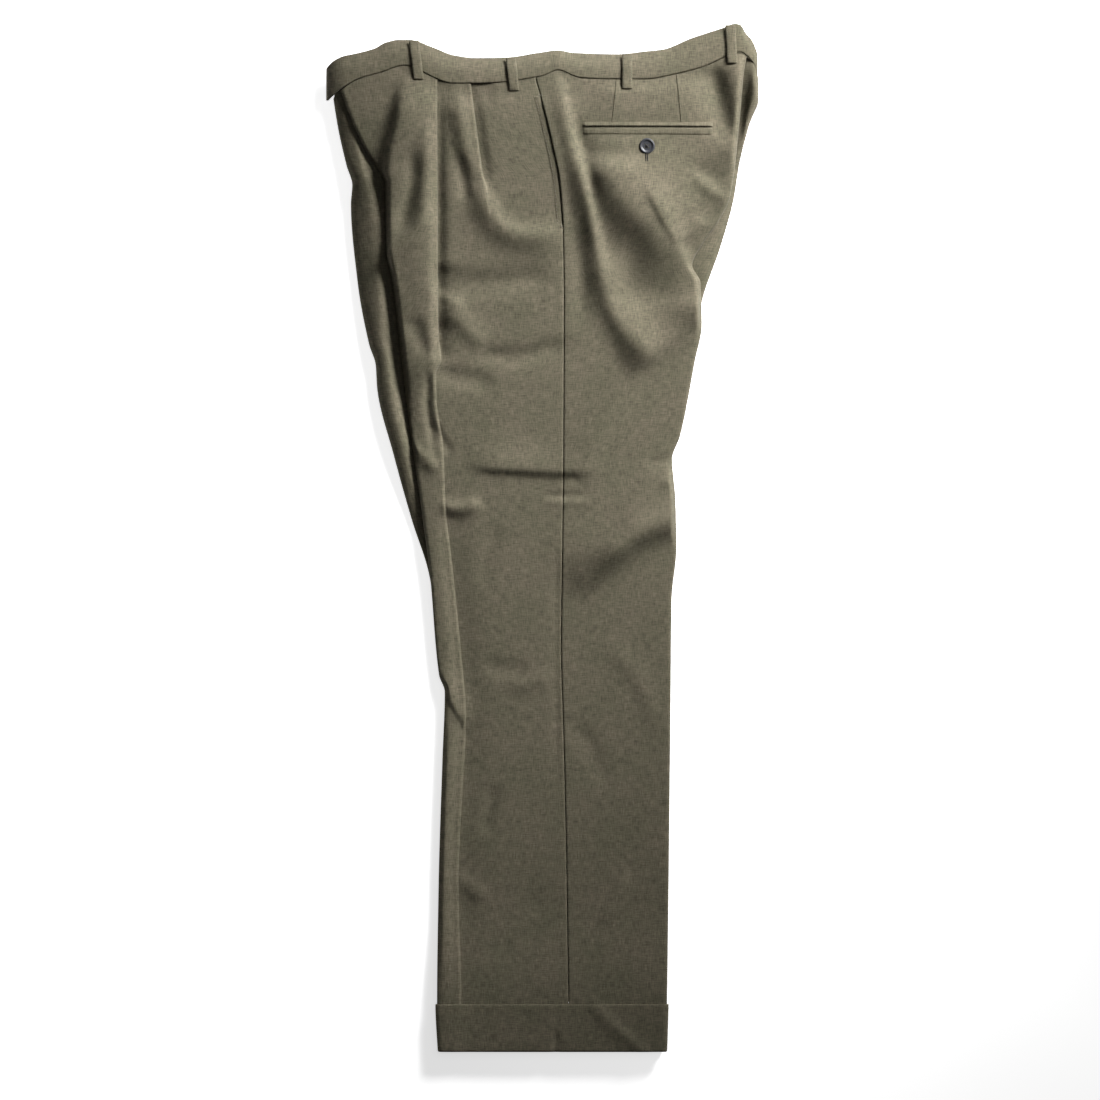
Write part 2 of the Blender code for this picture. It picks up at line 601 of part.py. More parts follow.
def lowest_band(x, q):
    """The least height of the band's outer face near a point."""
    return min(band_point(x + dx, q)[2] for dx in HIDDEN_NEAR_BAND)


def make_hidden_layers(material):
    """The inner halves of both legs, the pocket bags and the seat, as one rounded solid."""
    rows = []
    for q in HIDDEN_BAND_ROWS:
        x0, x1 = -BAND_FLAT_END + 8, BAND_FLAT_END - 8
        rows.append(hidden_section(
            x0, x1, lambda x, q=q: band_point(x, q)[1],
            lambda x, q=q: lowest_band(x, q) * HIDDEN_FILL - BAND_WALL,
            BAND_WALL + LAY_GAP))
    for row_y in row_values(COARSE_STEPS[:-1])[1:-1] + [CUFF_TOP + 2.0]:
        x0 = max(on_row(edge, row_y)[0] for edge in (front_x, under_front_x))
        x1 = min(on_row(edge, row_y)[0] for edge in (back_x, under_back_x))
        x0 += FOLD_RX + TUCK + 2
        x1 -= FOLD_RX + TUCK + 2
        beneath = mix(CLOTH, BAND_WALL, smooth(*HIDDEN_THICKER_BELOW, row_y)) + CUFF_LIFT * cuffed(row_y)
        rows.append(hidden_section(
            x0, x1, lambda x, r=row_y: bent(x, r),
            lambda x, r=row_y: lowest(x, bent(x, r)) - CLOTH - LAY_GAP,
            beneath + LAY_GAP))
    builder = loft(rows, closed=True, capped=True)
    bmesh.ops.recalc_face_normals(builder, faces=builder.faces)
    return finish("inner_layers", builder, material)


def hidden_section(x0, x1, y_at, top_at, z_bottom):
    """One closed ring of the hidden layers, rounded at both sides: top, then bottom back."""
    top_side, bottom_side = [], []
    for i in range(HIDDEN_COLUMNS + 1):
        x = mix(x0, x1, i / HIDDEN_COLUMNS)
        inside = min(1.0, max(0.0, min(x - x0, x1 - x) / HIDDEN_ROUND))
        rounding = math.sqrt(1.0 - (1.0 - inside) ** 2)
        top = max(top_at(x), z_bottom + 1.0)
        middle = mix(z_bottom, top, HIDDEN_WIDEST)
        top_side.append((x, y_at(x), mix(middle, top, rounding)))
        bottom_side.append((x, y_at(x), z_bottom))
    return top_side + bottom_side[::-1]


# --- turn-ups ---------------------------------------------------------------------------
def moved_out(ring, distance):
    """A closed section's points moved outwards, away from the leg inside it."""
    moved = []
    for i, (x, y, z) in enumerate(ring):
        before, after = ring[i - 1], ring[(i + 1) % len(ring)]
        dx, dz = after[0] - before[0], after[2] - before[2]
        length = math.hypot(dx, dz)
        moved.append((x - dz / length * distance, y, z + dx / length * distance))
    return moved


def left_ring(y):
    """The left leg's section as one ring; every other point of the front panel will do."""
    front = front_left_section(y)
    shown, fold = front[:-WRAP_COUNT], front[-WRAP_COUNT:]
    return fold[::-1] + shown[::2][::-1] + back_left_section(y)[1:]


def right_ring(y):
    front = right_leg_section(y, under_front_x, front_x, front_under, 1)
    back = right_leg_section(y, under_back_x, back_x, back_under, -1)
    return front[1:][::-1] + back[1:]


def make_turn_ups(material):
    """Each leg's hem turned up outside it, all round."""
    for name, ring, out in (("turn_up_left", left_ring, CUFF_LIFT),
                            ("turn_up_right", right_ring, -CUFF_LIFT)):
        rows = [moved_out(ring(y), out) for y in (CUFF_TOP, (CUFF_TOP + HEM_Y) / 2.0, HEM_Y)]
        builder = loft(rows, closed=True)
        bmesh.ops.recalc_face_normals(builder, faces=builder.faces)
        thicken(finish(name, builder, material), CLOTH)


# --- what lies on the panels -------------------------------------------------------------
def face_tree(panels):
    """A search tree over the outer faces of the upper pieces."""
    points, faces = [], []
    for thing in panels:
        start = len(points)
        points += [vertex.co.copy() for vertex in thing.data.vertices]
        faces += [[start + i for i in face.vertices] for face in thing.data.polygons]
    return BVHTree.FromPolygons(points, faces)


def drop(tree, x, y):
    """The face's height straight below a point, and the cosine of its tilt."""
    hit, normal, _, _ = tree.ray_cast(Vector((x * MM, y * MM, 0.2)), Vector((0, 0, -1)))
    if hit is None:
        return BAND_EDGE_Z, LEAST_COSINE
    return hit.z / MM, max(LEAST_COSINE, abs(normal.z))


def highest(tree, x, y):
    """The face's greatest height close round a point, and the cosine of its tilt there."""
    near = [drop(tree, x + dx, y + dy)[0] for dx in NEAR for dy in NEAR]
    return max(near), drop(tree, x, y)[1]


def laid_strip(name, tree, rows, material, rise=lambda i, j: 0.0):
    """A strip lying on the panels: rows of x, y, each point put on the face and moved out."""
    placed = []
    for i, row in enumerate(rows):
        line = []
        for j, (x, y) in enumerate(row):
            z, cosine = highest(tree, x, y)
            line.append((x, y, z + (TRIM + CLEAR) / cosine + rise(i, j)))
        placed.append(line)
    return sheet(name, placed, TRIM, material)


def loop_rise(i, j):
    """A loop bows up between its sewn ends, and is rounded across."""
    return LOOP_BOW * math.sin(math.pi * i / LOOP_ROWS) + (LOOP_CROWN if j == 1 else 0.0)


def make_belt_loops(tree, material):
    for name, x_bottom, x_top in BELT_LOOPS:
        y_low = seam_y(x_bottom) - LOOP_DROP
        y_high = top_y(x_top) - LOOP_SHORT
        rows = []
        for i in range(LOOP_ROWS + 1):
            x = mix(x_bottom, x_top, i / LOOP_ROWS)
            y = mix(y_low, y_high, i / LOOP_ROWS)
            rows.append([(x + side * LOOP_WIDTH / 2, y) for side in (-1, 0, 1)])
        laid_strip(name, tree, rows, material, loop_rise)


def make_pockets(tree, material):
    rows = []
    for y in (WELT["top"], (WELT["top"] + WELT["bottom"]) / 2, WELT["bottom"]):
        rows.append([(mix(WELT["left"], WELT["right"], i / WELT_COLUMNS), y)
                     for i in range(WELT_COLUMNS + 1)])
    laid_strip("pocket_welt_back_left", tree, rows, material)
    rows = []
    for i in range(POCKET_EDGE_ROWS + 1):
        y = mix(POCKET_EDGE["top"], POCKET_EDGE["bottom"], i / POCKET_EDGE_ROWS)
        x = outseam_x(y) - POCKET_EDGE["inset"]
        rows.append([(x - POCKET_EDGE["width"] * share, y) for share in (1.0, 0.5, 0.0)])
    laid_strip("pocket_edge_side_left", tree, rows, material)


def make_button(tree, material):
    """A turned button with a raised rim and four holes, lying on the back panel."""
    r, h = BUTTON_RADIUS, BUTTON_HEIGHT
    profile = ((0, h - 1.1), (r - 3.4, h - 1.1), (r - 2.3, h - 0.3), (r - 1.5, h),
               (r - 0.6, h - 0.3), (r, h - 1.3), (r, 1.0), (r - 0.8, 0.3), (r - 2.2, 0.0), (0, 0))
    builder = bmesh.new()
    points = [builder.verts.new((x * MM, 0.0, z * MM)) for x, z in profile]
    edges = [builder.edges.new(pair) for pair in zip(points, points[1:])]
    bmesh.ops.spin(builder, geom=points + edges, cent=(0, 0, 0), axis=(0, 0, 1),
                   angle=math.tau, steps=BUTTON_STEPS, use_merge=True)
    bmesh.ops.remove_doubles(builder, verts=builder.verts, dist=1e-6)
    bmesh.ops.recalc_face_normals(builder, faces=builder.faces)
    button = finish("button_back_left", builder, material)
    x, y = BUTTON_AT
    around = [drop(tree, x + r * math.cos(a), y + r * math.sin(a))[0]
              for a in (math.tau * i / 12 for i in range(12))]
    button.location = (x * MM, y * MM, (max(around + [drop(tree, x, y)[0]]) + CLEAR) * MM)
    cutters = bpy.data.collections.new("cutters")
    bpy.context.scene.collection.children.link(cutters)
    for i in range(4):
        angle = math.tau * (i + 0.5) / 4
        hole = bmesh.new()
        bmesh.ops.create_cone(hole, cap_ends=True, segments=12, radius1=HOLE_RADIUS * MM,
                              radius2=HOLE_RADIUS * MM, depth=4 * h * MM)
        mesh = bpy.data.meshes.new("button_hole_%d" % i)
        hole.to_mesh(mesh)
        hole.free()
        cutter = bpy.data.objects.new(mesh.name, mesh)
        cutter.location = button.location + Vector((HOLE_CIRCLE * math.cos(angle),
                                                    HOLE_CIRCLE * math.sin(angle), 0)) * MM
        cutter.hide_render = True
        cutter.display_type = "WIRE"
        cutters.objects.link(cutter)
        cut = button.modifiers.new("Hole", "BOOLEAN")
        cut.operation = "DIFFERENCE"
        cut.object = cutter


# --- the scene ------------------------------------------------------------------------
def principled(name, colour, roughness, metallic):
    material = bpy.data.materials.new(name)
    material.use_nodes = True
    shader = material.node_tree.nodes["Principled BSDF"]
    shader.inputs["Base Color"].default_value = (*colour, 1.0)
    shader.inputs["Roughness"].default_value = roughness
    shader.inputs["Metallic"].default_value = metallic
    return material


def main():
    for thing in list(bpy.data.objects):
        bpy.data.objects.remove(thing)
    collection = bpy.data.collections.new("pleated_trousers")
    bpy.context.scene.collection.children.link(collection)
    materials = {name: principled(name, *values) for name, values in MATERIALS.items()}
    upper = make_panels(materials["wool"])
    upper.append(make_waistband_left(materials["wool"]))
    make_waistband_right(materials["wool"])
    make_hidden_layers(materials["wool_hidden"])
    make_turn_ups(materials["wool"])
    tree = face_tree(upper)
    make_belt_loops(tree, materials["wool"])
    make_pockets(tree, materials["wool"])
    make_button(tree, materials["horn"])


main()
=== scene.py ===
"""Pleated dress trousers on a white surface: the cloth, its folds, sewing and light.

Lengths are in millimetres until a mesh is made.  +Y runs to the waist, -X to the
front of the trousers, +Z up.  Each cloth shell keeps its CAD wall's sections and
adds the soft folds; its UV map holds distances along the cloth, for the weave.
"""

import functools
from math import ceil, cos, pi, radians, sin, tau

import bmesh
import bpy
import numpy as np
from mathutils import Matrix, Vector
from mathutils.bvhtree import BVHTree


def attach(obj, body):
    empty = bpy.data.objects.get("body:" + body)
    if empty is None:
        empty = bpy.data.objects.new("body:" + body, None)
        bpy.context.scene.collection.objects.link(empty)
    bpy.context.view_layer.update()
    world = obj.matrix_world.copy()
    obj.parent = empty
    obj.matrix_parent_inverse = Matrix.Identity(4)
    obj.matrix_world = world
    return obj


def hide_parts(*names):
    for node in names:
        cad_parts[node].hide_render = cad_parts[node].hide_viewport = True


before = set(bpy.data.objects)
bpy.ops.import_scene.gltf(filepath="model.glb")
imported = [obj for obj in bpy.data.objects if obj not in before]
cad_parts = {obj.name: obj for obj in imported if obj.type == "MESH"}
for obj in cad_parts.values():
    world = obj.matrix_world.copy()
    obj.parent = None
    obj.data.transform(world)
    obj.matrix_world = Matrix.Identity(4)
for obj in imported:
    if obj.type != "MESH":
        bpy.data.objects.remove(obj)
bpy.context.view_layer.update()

MM = 0.001

# --- cloth and layers ---
CLOTH, BAND_WALL, TRIM, STRIP_WALL = 1.1, 2.4, 1.2, 0.7  # thicknesses
GAP = 0.3  # between two pieces at a seam
CLEAR = 0.45  # between the two legs
FOLD_RX = 5.0  # how far a side fold reaches past its flat cloth
TUCK = 12.0  # how far its panel runs on beneath
TURN_STEPS = 6  # columns round it
WAIST_Y, HEM_Y = 480.0, -538.0
HEM_INSET = 2.5  # the panels end this far above the hem
UNDER_EDGE = 0.45  # the right leg's side fold is widest at this share up
UNDER_REACH = 0.25  # and rounds over this share of what shows
UNDER_LEAST_Z = 0.02
BLEND_LENGTH = 130.0  # over which the rows take up the waist seam's curve

# --- turn-ups ---
CUFF_TOP = -488.0
CUFF_LIFT = CLOTH + 0.5
CUFF_RUN = 110.0  # how far above the turn-ups the legs begin to widen
CUFF_LAYERS = 3.0  # lifts beneath the left leg's upper side
CUFF_BELLY = 0.18  # how far a turn-up swells
CUFF_LIP = ((0.8, -1.1), (0.1, -0.5), (0.0, 0.0), (0.9, CUFF_BELLY))  # mm below its top, outwards
CUFF_FOLD = ((1.2, 0.15), (0.3, -0.4), (0.0, -1.1), (0.6, -1.8))  # mm above the hem, outwards
CUFF_ROWS = 22

# --- waistband ---
BAND_EDGE_Z = 17.0
BAND_TILT = radians(40.0)  # how far it turns down from seam to top edge
BAND_END, BAND_FLAT_END = 226.5, 205.0  # its ends, and where they begin to round
BAND_END_Z = 7.0
BAND_LIFT = BAND_SWELL = 0.5
BAND_FINE, BAND_ROWS = 2.0, 22
UNDER_BAND_END = BAND_FLAT_END + 13.0
UNDER_BAND_Z = 0.05
UNDER_BAND_INSET = 1.5  # below the upper half's top edge
END_CLEAR = 1.6  # the panels keep clear of the band's ends
END_CLEAR_FROM = (195.0, 212.0)  # where that begins and is whole
BACK_END_CLEAR = 3.0 * END_CLEAR  # and at the centre back
BACK_END_FROM = (214.0, 224.0)
UNDER_CLEAR = 0.4
UNDER_SEAM = (457.0, 481.5)  # the lower half's seam, at the front and the back
UNDER_MEETING = (165.0, 205.0)  # where the right leg's top rises to meet the band

# --- hidden layers ---
INNER_COLUMNS, INNER_ROWS = 40, 90
INNER_INSET = 3.0  # in from where the side folds' cloth ends
INNER_DEPTH = 3.6  # below the upper panels' inner face
INNER_CLEAR = 1.4  # above the lower cloth
INNER_BAND_END = BAND_FLAT_END - 12.0
INNER_BAND_FROM = (400.0, 440.0)  # where the lower cloth becomes the band's
INNER_BAND_SHARES = (0.4, 0.2, 0.05)  # of the band's depth, a ring at each
INNER_BAND_TOP, INNER_BAND_BOTTOM = (0.6, -5.0, 4.5), 3.8  # share of its height, more, least
NEAR_X, NEAR_Y = (-9, 0, 9), (-26, -13, 0, 13, 26)  # where the cloth over them is looked at

# --- pleats ---
PLEAT_LEAST_GAP = 0.3
PLEAT_SET = 2.2  # how far their base lies below the band's edge
PLEATED_FROM, PLEATED_TO = (-158.0, -142.0), (-46.0, -60.0)  # along the band
PLEAT_BASE = (30.0, 4.0)  # mm below the seam
PLEAT_SPREADS = (24.0, 36.0)  # over which the underlaps of each thin out
PLEAT_MARGINS = ((4, 5), (4, 4))  # mm right and left of each line that its turn takes

# --- belt loops, pockets, darts and button ---
LOOP_WIDTH = 11.0
LOOP_DROP, LOOP_SHORT = 10.0, 0.6  # past the waist seam, short of the top edge
LOOP_BOW, LOOP_ROUND, LOOP_LIFT = 0.9, 0.8, 0.9
LOOP_FOOT, LOOP_FREE = 0.12, 0.18  # shares of the length that lie on the panel, and to run free
LOOP_STITCH = dict(length=1.6, gap=0.9, radius=0.16)
LOOP_STITCH_AT = 0.32  # share of the width, from the middle
BELT_LOOPS = (  # columns: name, x at the lower end, x at the top edge
    ("belt_loop_front_left", -128.6, -134.0),
    ("belt_loop_side_left", -29.0, -32.5),
    ("belt_loop_back_left", 89.0, 89.0),
    ("belt_loop_centre_back", 199.0, 197.0),
)
WELT = dict(left=42.0, right=179.0, mouth=430.5, end_depth=-0.4, end_run=2.0)
WELT_COLUMNS = 90
WELT_PROFILE = (  # columns: up from the pocket's mouth, height over the panel
    (5.0, -0.35), (3.2, 0.3), (1.4, 1.1), (0.4, 1.5), (0.05, 1.25), (-0.05, -0.35),
    (-1.1, -0.35), (-2.0, 0.2), (-3.2, 0.5), (-5.2, 0.55), (-7.4, 0.5), (-8.4, 0.3), (-9.0, -0.5))
POCKET_EDGE = (462.0, 326.0, 7.0, 1.0)  # top, bottom, width, in from the outseam
POCKET_EDGE_ROWS = 69
POCKET_EDGE_PROFILE = (-0.15, 0.0, 0.08, 0.14, 0.2, 0.2, -0.3)  # heights, from the front
POCKET_STITCH_COLUMN = 2
POCKET_TAIL_ROWS, POCKET_TAIL_DEPTH = 5, 0.5  # its lower end sinks in
TACK_FRONT, TACK_BACK = 3.4, 2.4  # the bar tacks' reach either side of the outseam
TACK_ROWS = (-0.9, -0.3, 0.3, 0.9)
TACK_RADIUS = 0.3
MOUTH_LIFT, MOUTH_WIDTH = 1.6, 6.0  # the back panel's, behind the side pocket's mouth
MOUTH_BELOW = (-6.0, 10.0)  # mm above the mouth's lower end, fading in
MOUTH_ABOVE = (6.0, -8.0)  # mm above its upper end, fading out
DARTS = (((77.7, 480.5), (72.5, 431.0)), ((140.2, 485.0), (145.4, 431.0)))  # upper, lower end
DART_ROWS = 30
DART_FLATTER = 0.4  # the share of its height that a dart loses by its end
DART_PROFILE = (  # columns: across from the dart's line, height over the panel
    (-0.5, -0.4), (-0.1, -0.1), (0.05, 0.4), (0.7, 0.42), (2.2, 0.26), (5.0, 0.06),
    (8.0, -0.03), (9.7, -0.15))
BUTTON_AT = (109.7, 409.5)
HOLE_CIRCLE = 2.5
BUTTON_THREAD_RADIUS, BUTTON_THREAD_LIFT = 0.42, 0.25
BUTTON_THREAD_DIP = 0.9  # down through the holes
BUTTONHOLE = (109.3, 401.8, 393.6)  # x, top, bottom
BUTTONHOLE_STEP, BUTTONHOLE_RADIUS = 0.62, 0.34
BUTTONHOLE_SLIT, BUTTONHOLE_REACH = 0.25, 1.7  # from its middle to its stitches' ends
THREAD_SIDES, THREAD_STEPS = 6, 5
THREAD_RADIUS, THREAD_LIFT = 0.22, 0.1

# --- where the lines of the trousers run: columns are y, x ---
OUTSEAM = (
    (480, -6.5), (460, -1), (408, 11.5), (372, 18.5), (322, 22), (250, 23), (103, 22.5), (-37, 21),
    (-107, 20), (-217, 23), (-327, 25.5), (-488, 28), (-538, 29),
)
CREASE = (
    (480, -109.5), (355, -109), (250, -108.5), (188, -108), (172, -113.5), (145, -113), (93, -106),
    (35, -104), (-23, -97.5), (-117, -88), (-188, -82.5), (-275, -87), (-359, -90.5), (-488, -87.5),
    (-538, -90.5),
)
PLEAT = (
    (480, -75), (439, -69.5), (397, -64), (361, -59), (300, -54), (150, -50), (-538, -30),
)
FRONT = (
    (480, -216), (469, -211), (439, -199.5), (408, -185), (387, -172), (372, -164.5), (303, -163.5),
    (266, -156.5), (177, -146), (93, -135.5), (35, -127), (-38, -117.5), (-143, -108), (-161, -102),
    (-233, -104.5), (-364, -108.5), (-488, -110), (-538, -107.5),
)
UNDER_FRONT = (
    (480, -222), (427, -214), (389, -205), (370, -199), (351, -200.5), (269, -193.5), (204, -181.5),
    (182, -174.5), (158, -173), (87, -155.5), (19, -136.5), (-38, -118.5), (-115, -107),
    (-161, -99), (-243, -102), (-380, -106), (-538, -107),
)
BACK = (
    (520, 218), (492, 212), (439, 207), (403, 203.5), (356, 196.5), (334, 186), (308, 168),
    (286, 157.5), (268, 166), (224, 167.5), (187, 160.5), (108, 145), (83, 136.5), (40, 140),
    (-9, 141), (-65, 136), (-212, 134.5), (-488, 131), (-538, 129.5),
)
UNDER_BACK = (
    (520, 226), (492, 226.5), (460, 227), (424, 216.5), (389, 207), (355, 201), (308, 188),
    (249, 168), (203, 159.5), (120, 143), (83, 132.5), (-65, 132.5), (-212, 130), (-488, 128),
    (-538, 127),
)

# --- the waistband's two edges seen from above: columns are x, y ---
WAIST_SEAM = (
    (-227, 458), (-222, 461.5), (-211, 469.5), (-191, 480.5), (-166, 487.5), (-151, 493),
    (-144, 494), (-135, 492.5), (-122, 485.5), (-107, 478.5), (-94, 475), (-74, 475), (-37, 476.5),
    (-12, 480.5), (1, 483), (17, 489), (34, 482.5), (42, 480.5), (77, 479.5), (108, 479.5),
    (133, 483.5), (168, 492.5), (189, 502), (203, 507.5), (209, 508), (215, 504.5), (222, 497),
    (227, 483.5),
)
WAIST_TOP = (
    (-227, 492), (-219, 499.5), (-209, 504.5), (-193, 508), (-175, 513), (-164, 519), (-150, 522),
    (-139, 522), (-114, 514), (-93, 506), (-69, 503), (-38, 503.5), (-3, 508.5), (17, 511),
    (32, 508.5), (79, 507), (109, 510), (127, 512), (156, 523.5), (191, 535), (202, 539),
    (208, 537.5), (213, 529.5), (220, 521.5), (227, 506),
)

# --- how the layers stack: columns are y, top of the right leg, top of the left leg ---
FRONT_STACK = (
    (480, 17.5, 22), (430, 16, 21), (387, 13.5, 20), (350, 11, 21), (303, 10, 20.5), (200, 8, 17),
    (93, 6.5, 14), (-38, 5, 11), (-200, 4.2, 8.6), (-538, 3.8, 7.4),
)
BACK_STACK = (
    (520, 16, 21), (480, 16, 23), (400, 16, 24), (334, 13, 20.5), (286, 10, 18), (200, 8, 15.5),
    (83, 6, 12.5), (-65, 5, 10.5), (-200, 4.2, 8.6), (-538, 3.8, 7.4),
)
CROWN = ((520, 4), (480, 6), (440, 9.5), (400, 10), (300, 7.5), (150, 4.5), (0, 3),
         (-200, 2.2), (-538, 1.2))

# --- the pleats: columns are y, underlap, how far it is a true fold, step ---
CREASE_FOLD = (
    (500, 16, 1, 2.9), (470, 16, 1, 2.9), (440, 15, 1, 4.0), (300, 12, 1, 4.0), (235, 7, 1, 4.0),
    (185, 2, 0, 3.6), (150, 1, 0, 1.6), (60, 1, 0, 1.5), (-180, 1, 0, 1.5), (-440, 1, 0, 1.2),
    (-538, 1, 0, 0.8),
)
PLEAT_FOLD = (
    (480, 15, 1, 2.9), (465, 14, 1, 2.9), (430, 10, 1, 4.0), (395, 5, 1, 3.6), (361, 1, 0, 1.6),
    (335, 1, 0, 0.3), (310, 1, 0, 0.0), (-538, 1, 0, 0.0),
)

